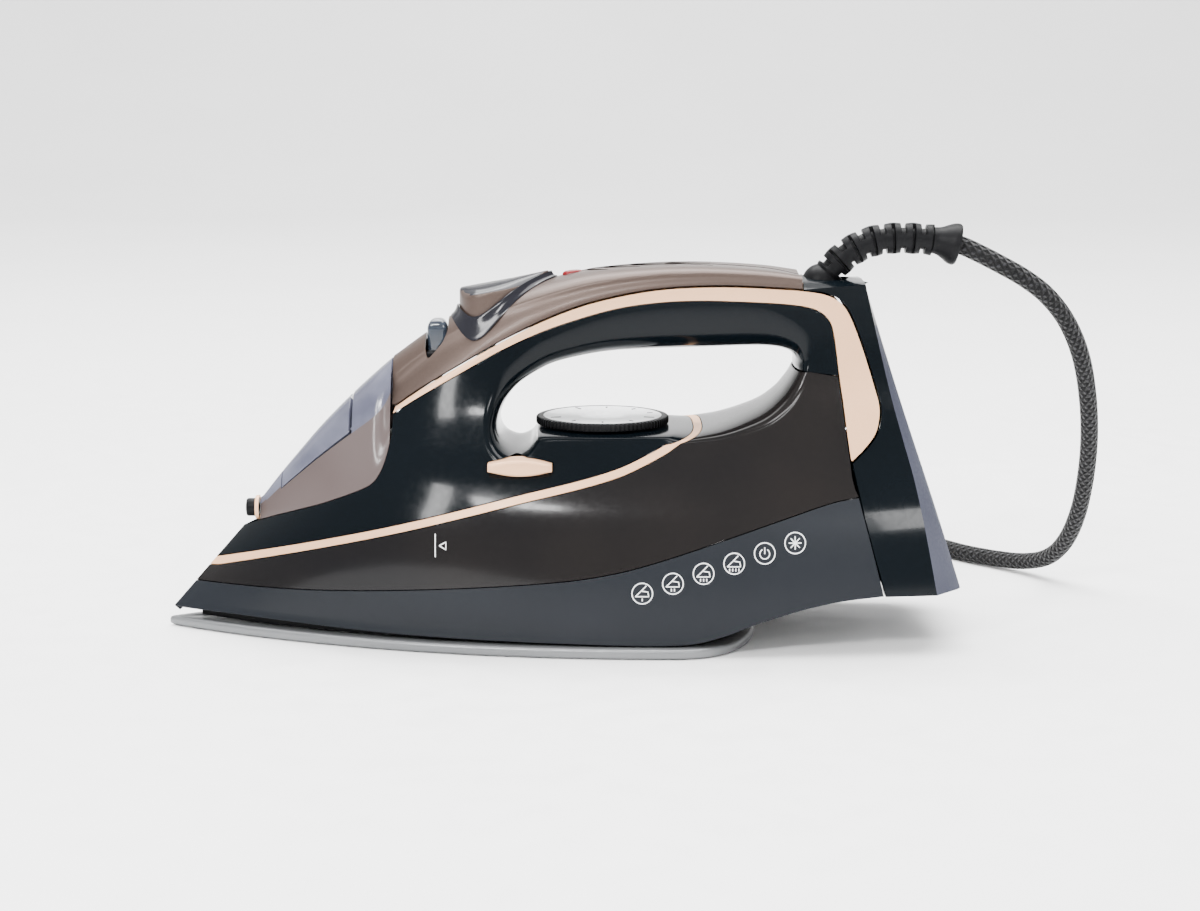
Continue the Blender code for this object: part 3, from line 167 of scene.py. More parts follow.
def shifted(line, distance):
    """A side-view outline moved sideways; positive is to the left of its direction."""
    p = np.asarray(line, dtype=float)
    step = np.gradient(p, axis=0)
    step /= np.linalg.norm(step, axis=1)[:, None]
    return p + distance * np.column_stack([-step[:, 1], step[:, 0]])


SPAN = 6
SIDE_COUNT = 110
width_curve = dense_spline(WIDTH_SHARE, 12)
skirt_low = spline(SKIRT_BOTTOM, SIDE_COUNT)
skirt_high = spline(SKIRT_TOP, SIDE_COUNT)
trim_mid = spline(TRIM_LINE, 16 * SPAN + 1)
trim_low = shifted(trim_mid, -TRIM_HALF_HEIGHT)
trim_high = shifted(trim_mid, TRIM_HALF_HEIGHT)
ribbon = dense_spline([(*low, *high) for low, high in RIBBON], SPAN)
ribbon_low = ribbon[:, :2]
ribbon_high = ribbon[:, 2:]
top_ridge = dense_spline(TOP_RIDGE, 8)
nose_ridge = dense_spline(NOSE_RIDGE, 8)
window_edge = dense_spline(WINDOW_EDGE, SPAN)
chamfer_line = dense_spline(CHAMFER_LINE, 8)


def nose_x(z):
    return NOSE_X_AT_FLOOR + NOSE_SLOPE * z


def heel_x(z):
    return HEEL_X - HEEL_SLOPE * (z - HEEL_BOTTOM_Z)


def half_width(x, z):
    """Half width of the body at a point of the side view."""
    wide = BODY_HALF_WIDTH * float(np.interp(max(z, 0), width_curve[:, 0], width_curve[:, 1]))
    if x >= SOLE_WIDEST_X:
        return wide * (1 - 0.16 * ((x - SOLE_WIDEST_X) / 115) ** 2)
    t = (SOLE_WIDEST_X - x) / (SOLE_WIDEST_X - nose_x(z))
    if t >= 1:
        return 0.0
    return wide * (1 - t ** (2.1 + 0.035 * max(0, z - 10))) ** 0.95


def on_nose(point):
    return np.array([nose_x(point[1]), point[1]])


def from_nose(line):
    """The same outline with its first point on the nose."""
    line[0] = on_nose(line[0])
    return line


def side_point(point, proud=0.0):
    """The near side's surface point above a side-view point."""
    return np.array([point[0], -half_width(point[0], point[1]) - proud, point[1]])


def side_row(low, high, share, end=0):
    """Surface points a share of the way between two outlines; the one at end is on the middle plane."""
    row = [side_point(a + (b - a) * share) for a, b in zip(low, high)]
    row[end][1] = 0.0
    return row


# ---------------------------------------------------------------- procedural materials
COAT_ROUGHNESS = 0.04
CLEAR_IOR = 1.46
GRAIN_DEPTH = 0.0004
BRAID_DEPTH = 0.0006


def pattern(owner):
    return owner.node_tree.nodes, owner.node_tree.links


def set_sockets(node, **numbers):
    """Sets a node's inputs by name, with underscores for the spaces."""
    for socket, number in numbers.items():
        node.inputs[socket.replace("_", " ")].default_value = number


def noise(material, scale, detail, stretch=(1, 1, 1)):
    """A noise texture on the piece's own coordinates; returns its value socket."""
    nodes, links = pattern(material)
    place = nodes.new("ShaderNodeTexCoord")
    scaling = nodes.new("ShaderNodeMapping")
    texture = nodes.new("ShaderNodeTexNoise")
    set_sockets(scaling, Scale=stretch)
    set_sockets(texture, Scale=scale, Detail=detail)
    links.new(place.outputs["Object"], scaling.inputs["Vector"])
    links.new(scaling.outputs["Vector"], texture.inputs["Vector"])
    return texture.outputs["Fac"]


def between(owner, value, low, high, from_low=0.35, from_high=0.65):
    """Maps a value socket into a range of numbers."""
    nodes, links = pattern(owner)
    change = nodes.new("ShaderNodeMapRange")
    set_sockets(change, From_Min=from_low, From_Max=from_high, To_Min=low, To_Max=high)
    links.new(value, change.inputs["Value"])
    return change.outputs["Result"]


def blend_colours(material, value, first, second):
    nodes, links = pattern(material)
    mix = nodes.new("ShaderNodeMix")
    mix.data_type = "RGBA"
    mix.inputs["A"].default_value = (*first, 1)
    mix.inputs["B"].default_value = (*second, 1)
    links.new(value, mix.inputs["Factor"])
    return mix.outputs["Result"]


def relief(material, height, strength, depth):
    """Bumps the shader's normal by a height socket."""
    nodes, links = pattern(material)
    bump = nodes.new("ShaderNodeBump")
    set_sockets(bump, Strength=strength, Distance=depth)
    links.new(height, bump.inputs["Height"])
    links.new(bump.outputs["Normal"], nodes["Principled BSDF"].inputs["Normal"])


def surface(name, first, second, rough, metallic, mottle, grain, bump, coat=0.0, specular=0.5, clear=0.0,
            stretch=(1, 1, 1)):
    """A finish whose colour drifts between two shades, with grain in its roughness and bump."""
    material = bpy.data.materials.new(name)
    material.use_nodes = True
    nodes, links = pattern(material)
    shader = nodes["Principled BSDF"]
    set_sockets(shader, Metallic=metallic, Coat_Weight=coat, Coat_Roughness=COAT_ROUGHNESS,
                Specular_IOR_Level=specular)
    if clear:
        set_sockets(shader, Transmission_Weight=clear, IOR=CLEAR_IOR)
    drift = between(material, noise(material, mottle, 3, stretch), 0, 1)
    links.new(blend_colours(material, drift, first, second), shader.inputs["Base Color"])
    fine = noise(material, grain, 2, stretch)
    links.new(between(material, fine, rough * 0.85, rough * 1.2), shader.inputs["Roughness"])
    if bump:
        relief(material, fine, bump, GRAIN_DEPTH)
    return material


def braid(name):
    """Textile braid: two sets of strands crossing on the cord's UV map, with pale flecks."""
    material = surface(name, (0.0030, 0.0030, 0.0034), (0.0055, 0.0055, 0.006), 0.65, 0.0, 35, 1800, 0.0,
                       specular=0.12)
    nodes, links = pattern(material)
    shader = nodes["Principled BSDF"]
    set_sockets(shader, Sheen_Weight=0.1)
    place = nodes.new("ShaderNodeUVMap")
    split = nodes.new("ShaderNodeSeparateXYZ")
    links.new(place.outputs["UV"], split.inputs["Vector"])

    def maths(kind, a, b=None):
        node = nodes.new("ShaderNodeMath")
        node.operation = kind
        for socket, value in zip(node.inputs, (a, b)):
            if value is None:
                continue
            if isinstance(value, (int, float)):
                socket.default_value = value
            else:
                links.new(value, socket)
        return node.outputs[0]

    around = maths("MULTIPLY", split.outputs["X"], 2 * pi * 7)
    down = maths("MULTIPLY", split.outputs["Y"], 2 * pi * 260)
    one = maths("SINE", maths("ADD", around, down))
    two = maths("SINE", maths("SUBTRACT", around, down))
    weave = maths("MAXIMUM", one, two)
    relief(material, weave, 0.9, BRAID_DEPTH)
    crossing = maths("MULTIPLY", maths("GREATER_THAN", one, 0.45), maths("LESS_THAN", two, -0.1))
    fleck = maths("MULTIPLY", crossing, between(material, noise(material, 420, 1), 0, 1, 0.42, 0.55))
    base = shader.inputs["Base Color"].links[0].from_socket
    flecked = blend_colours(material, fleck, (0, 0, 0), (0.022, 0.022, 0.025))
    links.new(base, flecked.node.inputs["A"])
    links.new(flecked, shader.inputs["Base Color"])
    return material


# Each finish: its two shades, roughness, metallic share, sizes of mottle and grain, and bump; then, where
# they are needed, clear coat, specular level, transmission and the stretch of the pattern.
FINISHES = {
    "sole_metal": ((0.14, 0.145, 0.15), (0.19, 0.195, 0.20), 0.38, 0.5, 18, 900, 0.05, 0, 0.5, 0,
                   (0.2, 1, 1)),
    "cast_aluminium": ((0.36, 0.36, 0.37), (0.48, 0.48, 0.49), 0.55, 1.0, 60, 700, 0.3),
    "steel": ((0.5, 0.5, 0.52), (0.62, 0.62, 0.64), 0.28, 1.0, 50, 1500, 0.05),
    "silicone": ((0.42, 0.08, 0.05), (0.55, 0.12, 0.08), 0.6, 0.0, 40, 900, 0.1),
    "slate_plastic": ((0.0062, 0.0078, 0.0105), (0.0085, 0.0102, 0.0135), 0.38, 0.0,
                      14, 2600, 0.045, 0, 0.16),
    "smoky_plastic": ((0.0050, 0.0048, 0.0054), (0.0098, 0.0084, 0.0080), 0.15, 0.0,
                      9, 700, 0.006, 0.05, 0.14),
    "black_gloss": ((0.0014, 0.0026, 0.0038), (0.0021, 0.0037, 0.0052), 0.13, 0.0,
                    12, 500, 0.004, 0.04, 0.10),
    "black_plastic": ((0.0035, 0.0036, 0.0040), (0.0060, 0.0061, 0.0068), 0.42, 0.0, 60, 2400, 0.12, 0, 0.07),
    "taupe_metallic": ((0.058, 0.041, 0.034), (0.080, 0.057, 0.048), 0.38, 0.45, 5200, 4200, 0.05, 0.04, 0.2),
    "rose_gold": ((0.68, 0.385, 0.215), (0.76, 0.45, 0.26), 0.40, 0.15, 4800, 4200, 0.04, 0.05, 0.3),
    "window_plastic": ((0.078, 0.060, 0.057), (0.112, 0.090, 0.088), 0.18, 0.0,
                       10, 600, 0.004, 0.05, 0.16, 0.10),
    "door_plastic": ((0.085, 0.088, 0.125), (0.135, 0.139, 0.185), 0.16, 0.0, 60, 600, 0.004, 0.1, 0.2, 0.25),
    "smoke_grey": ((0.009, 0.009, 0.012), (0.015, 0.015, 0.019), 0.12, 0.0, 20, 700, 0.004, 0.06, 0.16),
    "blue_clear": ((0.018, 0.024, 0.036), (0.035, 0.045, 0.062), 0.07, 0.0, 60, 600, 0.004, 0.5, 0.5, 0.4),
    "white_plastic": ((0.66, 0.66, 0.63), (0.76, 0.76, 0.73), 0.4, 0.0, 50, 1800, 0.05),
    "red_lens": ((0.13, 0.0006, 0.003), (0.20, 0.001, 0.005), 0.12, 0.0, 300, 700, 0.004, 0.05, 0.2),
    "board_green": ((0.02, 0.12, 0.05), (0.04, 0.19, 0.09), 0.45, 0.0, 250, 1200, 0.08),
    "print_white": ((0.78, 0.79, 0.80), (0.88, 0.89, 0.90), 0.5, 0.0, 300, 2500, 0.03),
    # matt_black has no specular, so it stays dark: besides plain black parts it carries the painted dark
    # reflection on the ridge and the painted groove shade on the handle top.
    "matt_black": ((0.0030, 0.0028, 0.0028), (0.0055, 0.0050, 0.0048), 0.7, 0.0, 60, 2400, 0.05, 0, 0.0),
    # The heel's rear side facets take this lighter grey-blue finish: a painted reflection of the floor.
    "chamfer_painted_reflection": ((0.030, 0.032, 0.050), (0.044, 0.047, 0.068), 0.40, 0.0, 12, 900, 0.01, 0, 0.1),
    "floor": ((0.86, 0.86, 0.86), (0.89, 0.89, 0.89), 0.6, 0.0, 3, 60, 0.0),
}
MATERIALS = {name: surface(name, *values) for name, values in FINISHES.items()}
MATERIALS["cord_textile"] = braid("cord_textile")


# ---------------------------------------------------------------- making pieces
def solid(name, verts, faces, material, sharp=35, edge=0.0):
    """One mesh from millimetre points, smooth-shaded, with its sharp edges rounded by edge."""
    mesh = bpy.data.meshes.new(name)
    mesh.from_pydata([tuple(np.array(v, dtype=float) * MM) for v in verts], [], faces)
    bm = bmesh.new()
    bm.from_mesh(mesh)
    bmesh.ops.remove_doubles(bm, verts=bm.verts, dist=0.01 * MM)
    bmesh.ops.dissolve_degenerate(bm, edges=bm.edges, dist=0.001 * MM)
    bmesh.ops.recalc_face_normals(bm, faces=bm.faces)
    bm.to_mesh(mesh)
    bm.free()
    obj = bpy.data.objects.new(name, mesh)
    bpy.context.collection.objects.link(obj)
    mesh.materials.append(MATERIALS[material])
    obj["finish"] = material
    mesh.shade_smooth()
    mesh.set_sharp_from_angle(angle=radians(sharp))
    if edge:
        soften(obj, edge, sharp)
    return obj


def soften(obj, width, angle):
    """Rounds the edges sharper than angle when the piece is shown or exported."""
    bevel = obj.modifiers.new("edge", "BEVEL")
    bevel.width = width * MM
    bevel.segments = 2
    bevel.limit_method = "ANGLE"
    bevel.angle_limit = radians(angle)
    bevel.harden_normals = True


def settle(obj, *nodes, body="iron", slot=None):
    """Stands a fine piece in for its CAD nodes, on their body."""
    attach(obj, body)
    if nodes:
        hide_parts(*nodes)
    return obj


def grid(rows):
    """Vertices and quads of a sheet given as rows of points."""
    count = len(rows[0])
    verts = [tuple(p) for row in rows for p in row]
    faces = []
    for r in range(len(rows) - 1):
        for c in range(count - 1):
            a = r * count + c
            faces.append((a, a + 1, a + count + 1, a + count))
    return verts, faces


def shell(name, patches, material, wall=WALL, sharp=35, edge=0.3):
    """A wall of even thickness. The patches are its near half's outer surface; the far half mirrors it."""
    bm = bmesh.new()
    for rows in patches:
        for side in (1, -1):
            verts, faces = grid([[(p[0], side * p[1], p[2]) for p in row] for row in rows])
            made = [bm.verts.new(v) for v in verts]
            for f in faces:
                bm.faces.new([made[i] for i in f])
    bmesh.ops.remove_doubles(bm, verts=bm.verts, dist=0.03)
    bmesh.ops.dissolve_degenerate(bm, edges=bm.edges, dist=0.01)
    loose = [v for v in bm.verts if not v.link_faces]
    bmesh.ops.delete(bm, geom=loose, context="VERTS")
    bmesh.ops.recalc_face_normals(bm, faces=bm.faces)
    lean = sum(f.normal.y * f.calc_center_median().y * f.calc_area() for f in bm.faces)
    if lean < 0:
        bmesh.ops.reverse_faces(bm, faces=bm.faces)
    bm.verts.index_update()
    outer = [np.array(v.co) for v in bm.verts]
    inner = []
    for v in bm.verts:
        normals = np.array([f.normal for f in v.link_faces])
        pull = normals.T @ normals + 0.02 * len(normals) * np.eye(3)
        inner.append(np.array(v.co) - wall * np.linalg.solve(pull, normals.sum(axis=0)))
    count = len(outer)
    faces = []
    for f in bm.faces:
        ring = [v.index for v in f.verts]
        faces.append(ring)
        faces.append([i + count for i in reversed(ring)])
    for e in bm.edges:
        if len(e.link_faces) == 1:
            a, b = e.verts[0].index, e.verts[1].index
            faces.append([a, b, b + count, a + count])
    bm.free()
    return solid(name, outer + inner, faces, material, sharp, edge)


def stack(name, loops, material, closed=False, edge=0.0):
    """A solid from loops of equal length: capped at both ends, or closed on itself as a ring."""
    count = len(loops[0])
    verts = [p for loop in loops for p in loop]
    faces = []
    total = len(loops)
    for r in range(total if closed else total - 1):
        s = (r + 1) % total
        for c in range(count):
            d = (c + 1) % count
            faces.append((r * count + c, r * count + d, s * count + d, s * count + c))
    if not closed:
        faces.append(tuple(range(count))[::-1])
        faces.append(tuple((total - 1) * count + c for c in range(count)))
    return solid(name, verts, faces, material, edge=edge)


def turned(name, profile, material, centre, axis, sides, closed=False, wave=None):
    """A turned solid; the profile is (radius, height) along the axis, wave(angle, row) adds to the radius."""
    loops = []
    for row, (r, h) in enumerate(profile):
        loop = []
        for k in range(sides):
            a = 2 * pi * k / sides
            reach = r + (wave(a, row) if wave else 0)
            u, v = reach * cos(a), reach * sin(a)
            loop.append(tuple(np.add(centre, (u, v, h) if axis == "Z" else (h, u, v))))
        loops.append(loop)
    return stack(name, loops, material, closed)


def prism(name, outline, low, high):
    """A vertical prism used to cut with."""
    loops = [[(x, y, z) for x, y in outline] for z in (low, high)]
    return stack(name, loops, "steel")


def disc(x, y, radius, sides=32):
    return [(x + radius * cos(2 * pi * k / sides), y + radius * sin(2 * pi * k / sides))
            for k in range(sides)]


def rounded_box(x, y, half_x, half_y, corner, steps=5):
    """Plan outline of a rectangle with round corners."""
    line = []
    for quarter, (sx, sy) in enumerate(((1, 1), (-1, 1), (-1, -1), (1, -1))):
        for k in range(steps + 1):
            a = pi / 2 * (quarter + k / steps)
            line.append((x + sx * (half_x - corner) + corner * cos(a),
                         y + sy * (half_y - corner) + corner * sin(a)))
    return line


def carve(obj, *tools):
    """Cuts the tools out of obj and removes them."""
    for tool in tools:
        change = obj.modifiers.new("cut", "BOOLEAN")
        change.operation = "DIFFERENCE"
        change.object = tool
        obj.modifiers.move(len(obj.modifiers) - 1, 0)
    edge = [m for m in obj.modifiers if m.type == "BEVEL"]
    for m in edge:
        m.show_viewport = False
    bpy.context.view_layer.update()
    made = bpy.data.meshes.new_from_object(obj.evaluated_get(bpy.context.evaluated_depsgraph_get()))
    for m in [m for m in obj.modifiers if m.type == "BOOLEAN"]:
        obj.modifiers.remove(m)
    for m in edge:
        m.show_viewport = True
    obj.data = made
    for tool in tools:
        bpy.data.objects.remove(tool)


def tube_mesh(name, points, radius, material, sides):
    """A tube along millimetre points, with closed ends and a UV map.

    radius is a number or a function of the row and the angle.
    """
    p = np.asarray(points, dtype=float)
    run = run_length(p)
    tangent = np.gradient(p, axis=0)
    tangent /= np.linalg.norm(tangent, axis=1)[:, None]
    normal = np.cross(tangent[0], (0, 1, 0.01))
    radii = radius if callable(radius) else (lambda row, a: radius)
    verts = []
    for row, (centre, t) in enumerate(zip(p, tangent)):
        normal = normal - t * np.dot(normal, t)
        normal /= np.linalg.norm(normal)
        other = np.cross(t, normal)
        for k in range(sides):
            a = 2 * pi * k / sides
            verts.append(tuple((centre + radii(row, a) * (normal * cos(a) + other * sin(a))) * MM))
    faces = []
    coords = []
    for i in range(len(p) - 1):
        for k in range(sides):
            j = (k + 1) % sides
            faces.append((i * sides + k, i * sides + j, (i + 1) * sides + j, (i + 1) * sides + k))
            coords.append([(k / sides, run[i] * MM), ((k + 1) / sides, run[i] * MM),
                           ((k + 1) / sides, run[i + 1] * MM), (k / sides, run[i + 1] * MM)])
    faces.append(tuple(range(sides))[::-1])
    faces.append(tuple((len(p) - 1) * sides + k for k in range(sides)))
    coords += [[(0, 0)] * sides] * 2
    mesh = bpy.data.meshes.new(name)
    mesh.from_pydata(verts, [], faces)
    layer = mesh.uv_layers.new(name="UVMap")
    flat = [c for face in coords for c in face]
    layer.data.foreach_set("uv", [v for uv in flat for v in uv])
    mesh.update()
    mesh.shade_smooth()
    mesh.set_sharp_from_angle(angle=radians(50))
    mesh.materials.append(MATERIALS[material])
    obj = bpy.data.objects.new(name, mesh)
    obj["finish"] = material
    bpy.context.collection.objects.link(obj)
    return obj


# ---------------------------------------------------------------- camera
def make_camera():
    """Level with the handle, looking at the near side a little from above."""
    data = bpy.data.cameras.new("camera")
    data.sensor_width = 36
    data.lens = 71.0
    camera = bpy.data.objects.new("camera", data)
    bpy.context.collection.objects.link(camera)
    camera.location = (0.017, -0.950, 0.233)
    camera.rotation_euler = Euler((radians(90 - 9.7), 0, 0))
    bpy.context.scene.camera = camera


# ---------------------------------------------------------------- cord
def ease(t):
    t = min(max(t, 0.0), 1.0)
    return t * t * (3 - 2 * t)


def coil_points():
    """Two layers of three turns: in on the lower layer, up, and out again on the upper one."""
    middle = COIL_MEAN_DIAMETER / 2
    radii = [middle + k * CORD_DIAMETER for k in (1, 0, -1, -1, 0, 1, 1)]
    first, last = radians(-6.7), radians(COIL_TURNS * 360 + 90)
    points = []
    for a in np.linspace(first, last, COIL_TURNS * 34 + 9)[1:]:
        turn = (a - first) / (2 * pi)
        r = radii[0]
        for k in range(1, len(radii)):
            r += (radii[k] - radii[k - 1]) * ease((turn - k) / 0.5 + 1.0)
        start = min(turn / 0.11, 1.0)
        r += 10.0 * (1 - start) ** 3
        z = COIL_REST_Z + (COIL_HEIGHT - 2 * COIL_REST_Z) * ease((turn - 2.4) / 0.4)
        points.append((COIL_CENTRE[0] + r * cos(a), COIL_CENTRE[1] + r * sin(a), z))
    return points


def cord_path():
    """The whole cord: down from the strain relief, the coil, and the tail up to the plug."""
    tail = []
    for f in np.linspace(0, 1, 7):
        rise = 0.5 - 0.5 * cos(pi * f)
        tail.append((90.5 - TAIL_LENGTH_X * f, 193.8 - 0.8 * f, 11.2 + (PLUG_FACE[2] - 11.2) * rise))
    route = [(158.4, 0, 157.2)] + CORD_ROUTE + coil_points() + tail + [(52.6, 193.0, PLUG_FACE[2])]
    fine = dense_spline(route, 8)
    run = run_length(fine)
    at = np.linspace(0, run[-1], int(run[-1] / 2.6))
    return np.column_stack([np.interp(at, run, fine[:, k]) for k in range(3)]), run[-1]


def make_guard():
    """Bend protector: a sleeve slotted above and below, and between those at its sides, ending in a bell."""
    route = [(BALL_X + 3.0, 0, BALL_Z + 3.4), (110.6, 0, 147.4), (113.8, 0, 150.7), (117.6, 0, 153.8),
             (125.3, 0, 157.5), (133.3, 0, 158.9), (141.3, 0, 159.0), (149.3, 0, 158.4), (155.3, 0, 157.5),
             (160.6, 0, 156.4)]
    line = spline(route, 340)
    run = run_length(line)
    pitch = 7.9
    bell = run[-1] - 10.5

    def notch(s, middle, half):
        away = abs(((s - middle) / pitch + 0.5) % 1.0 - 0.5) * pitch
        return 1 - ease((away - half) / 0.22 + 0.5)

    def radius(row, a):
        s = run[row]
        if s > bell:
            t = (s - bell) / (run[-1] - bell)
            return 5.3 + 3.1 * ease(t * 1.15) ** 1.3 - 0.45 * ease((t - 0.93) / 0.07)
        depth = 0.0
        if abs(cos(a)) > 0.50:
            depth = notch(s, 3.0, 0.95)
        if abs(sin(a)) > 0.34:
            depth = max(depth, notch(s, 3.0 + pitch / 2, 0.5))
        swell = 0.18 * cos(2 * pi * (s - 3.0) / pitch)
        return 6.1 - swell - 1.75 * depth - 0.5 * ease((1.5 - s) / 1.5)

    guard = tube_mesh("bend_protector", line, radius, "black_plastic", 48)
    return settle(guard, "cord_guard", body="cord_swivel")


def make_cord():
    points, length = cord_path()
    cord = tube_mesh("mains_cord", points, CORD_DIAMETER / 2, "cord_textile", 14)
    settle(cord, "power_cord", "cord_coil", "cord_tail", body="cord_swivel")
    pieces = [make_guard(), *make_plug(), make_tie()]
    profile = [(7.3 * sin(a), -7.3 * cos(a)) for a in np.linspace(0.28, 2.9, 28)]
    ball = turned("swivel_ball", profile, "black_plastic", (BALL_X, 0, BALL_Z), "Z", 48)
    settle(ball, "cord_ball", body="cord_swivel")


def make_plug():
    x, y, z = PLUG_FACE
    profile = [(0.01, 0.4), (8, 0.4), (17.6, 0.4), (18.6, 1.0), (19.0, 2.2), (19.0, 13.4), (18.6, 14.8),
               (17.2, 20), (15.2, 26), (12.2, 31), (10.3, 33.4), (9.0, 34.2)]
    for k in range(5):
        at = 35.2 + 3.9 * k
        thick = 8.2 - 0.75 * k
        profile += [(thick - 1.3, at), (thick, at + 0.5), (thick - 0.3, at + 2.5), (thick - 1.3, at + 3.0)]
    profile += [(4.3, 57.1), (4.0, 57.3), (4.0, 55.9)]

    def grip(a, row):
        return 0.25 * cos(24 * a) if 5 < row < 9 else 0.0

    plug = turned("mains_plug", profile, "black_plastic", PLUG_FACE, "X", 96, wave=grip)
    settle(plug, "plug_body", body="cord_swivel")
    pins = []
    for name, side in (("left", -9.5), ("right", 9.5)):
        dome = [(2.4 * cos(a), -16.6 - 2.4 * sin(a)) for a in np.linspace(pi / 2 - 0.05, 0, 7)]
        pin = turned("mains_pin_" + name, dome + [(2.4, 0.1)], "steel", (x - 0.3, y + side, z), "X", 24)
        pins.append(settle(pin, "plug_pin_" + name, body="cord_swivel"))
    return [plug, *pins]


def make_tie():
    """A clip over the bundle of turns, open below."""
    middle = COIL_MEAN_DIAMETER / 2
    inside = COIL_HALF_WIDTH + 0.8
    outside = inside + 1.6
    clip = [(-outside, 0.4), (-outside, COIL_HEIGHT), (-outside + 2, COIL_HEIGHT + 2.0),
            (outside - 2, COIL_HEIGHT + 2.0), (outside, COIL_HEIGHT), (outside, 0.4), (inside, 0.4),
            (inside, COIL_HEIGHT - 0.4), (inside - 1, COIL_HEIGHT + 0.4), (-inside + 1, COIL_HEIGHT + 0.4),
            (-inside, COIL_HEIGHT - 0.4), (-inside, 0.4)]
    loops = []
    for slide in (-5.0, 5.0):
        loops.append([(COIL_CENTRE[0] + (middle + u) * cos(TIE_ANGLE) - slide * sin(TIE_ANGLE),
                       COIL_CENTRE[1] + (middle + u) * sin(TIE_ANGLE) + slide * cos(TIE_ANGLE), z)
                      for u, z in clip])
    tie = stack("coil_clip", loops, "black_plastic", edge=0.35)
    return settle(tie, "cord_tie", body="cord_swivel")


# ---------------------------------------------------------------- sole
def sole_half_width(x, half, nose, rear):
    if x < SOLE_WIDEST_X:
        return half * max(0, 1 - ((SOLE_WIDEST_X - x) / (SOLE_WIDEST_X - nose)) ** 2.1) ** 0.95
    return half * max(0, 1 - ((x - SOLE_WIDEST_X) / (rear - SOLE_WIDEST_X)) ** 2.4) ** (1 / 2.4)


def sole_outline(inset):
    """Closed plan outline of the sole, moved in by inset, as (x, y) points from the nose round."""
    front, behind = 70, 28
    nose = SOLE_NOSE_X + 2.0 * inset
    rear = SOLE_REAR_X - inset
    half = SOLE_HALF_WIDTH - inset
    ahead = [SOLE_WIDEST_X - (SOLE_WIDEST_X - nose) * sin(pi / 2 * (1 - k / front)) for k in range(front)]
    back = [SOLE_WIDEST_X + (rear - SOLE_WIDEST_X) * sin(pi / 2 * k / behind) for k in range(behind + 1)]
    near = [(x, -sole_half_width(x, half, nose, rear)) for x in ahead + back]
    near[0] = (nose, 0.0)
    near[-1] = (rear, 0.0)
    return near + [(x, -y) for x, y in near[-2:0:-1]]


VENT_RADIUS = 1.7
VENT_SIDES = 20


def make_sole():
    sections = [(1.3, 0.0), (0.6, 0.2), (0.15, 0.7), (0.0, 1.3), (0.0, 2.7), (0.2, 3.4), (0.7, 3.85),
                (1.4, 4.0)]
    loops = [[(x, y, z) for x, y in sole_outline(inset)] for inset, z in sections]
    sole = stack("sole", loops, "sole_metal")
    vents = [(x, side * 0.62 * sole_half_width(x, 56, SOLE_NOSE_X, SOLE_REAR_X))
             for x in range(-110, 61, 17) for side in (-1, 1)]
    vents += [(-136, 0), (-96, 0)]
    verts, faces = [], []
    for x, y in vents:
        low, high = len(verts), len(verts) + VENT_SIDES
        ring = disc(x, y, VENT_RADIUS, VENT_SIDES)
        verts += [(*p, -1.0) for p in ring] + [(*p, 6.0) for p in ring]
        faces += [tuple(range(low, high))[::-1], tuple(range(high, high + VENT_SIDES))]
        for k in range(VENT_SIDES):
            after = (k + 1) % VENT_SIDES
            faces.append((low + k, low + after, high + after, high + k))
    carve(sole, solid("vents", verts, faces, "steel"))
    settle(sole, "soleplate")


# ---------------------------------------------------------------- skirt, tank and gold line
def make_skirt():
    low = from_nose(skirt_low.copy())
    high = from_nose(shifted(skirt_high, -GAP / 2))
    rows = [side_row(low, high, f) for f in np.linspace(0, 1, 13)]
    settle(shell("skirt_shell", [rows], "slate_plastic", edge=0.5), "skirt")


ROLL_STEPS = [cos(pi / 2 * k / 14) for k in range(1, 15)]


def roll(start, opening):
    """Points from the side surface over a rounded rim to the opening's wall at y = 0."""
    start = np.asarray(start, dtype=float)
    opening = np.asarray(opening, dtype=float)
    wide = half_width(*start)
    points = []
    for q in ROLL_STEPS:
        a = pi / 2 * q
        p = opening + (start - opening) * (1 - cos(a) ** ROLL_POWER)
        points.append(np.array([p[0], -wide * sin(a) ** ROLL_POWER, p[1]]))
    return points


def make_tank():
    floor = from_nose(shifted(skirt_high, GAP / 2))
    seam = ribbon_low[:RIBBON_AT_SEAM * SPAN - 1:-1]
    foot = dense_spline([(117.3, 63.6), (116.2, 68.5), tuple(seam[0])], SPAN)
    back = np.vstack([foot[:-1], seam])
    back[:, 0] -= GAP
    back[-1][1] -= GAP
    lower = np.vstack([floor, back])
    roof = from_nose(shifted(trim_low, -GAP / 2))
    rim = spline([(*start, *opening) for start, opening in SADDLE_RIM], 70)
    rim[-1][3] -= GAP
    upper = np.vstack([roof, rim[:, :2]])
    lower_run = run_length(lower)
    upper_run = run_length(upper)
    at = upper_run / upper_run[-1] * lower_run[-1]
    lower_even = np.column_stack([np.interp(at, lower_run, lower[:, k]) for k in (0, 1)])
    rows = [side_row(lower_even, upper, f) for f in np.linspace(0, 1, 25)]
    lines = [[side_point(station[:2])] + roll(station[:2], station[2:]) for station in rim]
    settle(shell("tank_shell", [rows, list(zip(*lines))], "smoky_plastic", edge=0.0), "water_tank")

    low = from_nose(shifted(trim_low, GAP / 2))
    high = from_nose(shifted(trim_high, -GAP / 2))
    saddle = np.array(SADDLE_RIM[0]) - (GAP, 0)
    housing = np.array(HOUSING_RIM[0]) + (GAP, 0)
    low_line = [side_point(p) for p in low] + [side_point(saddle[0])] + roll(*saddle)
    high_line = [side_point(p) for p in high] + [side_point(housing[0])] + roll(*housing)
    rows = [[a + (b - a) * f for a, b in zip(low_line, high_line)] for f in (0, 0.5, 1)]
    settle(shell("gold_line", [rows], "rose_gold", 1.0, edge=0.25), "body_trim")


# ---------------------------------------------------------------- housing, handle and nose
RIM_STEPS = 30


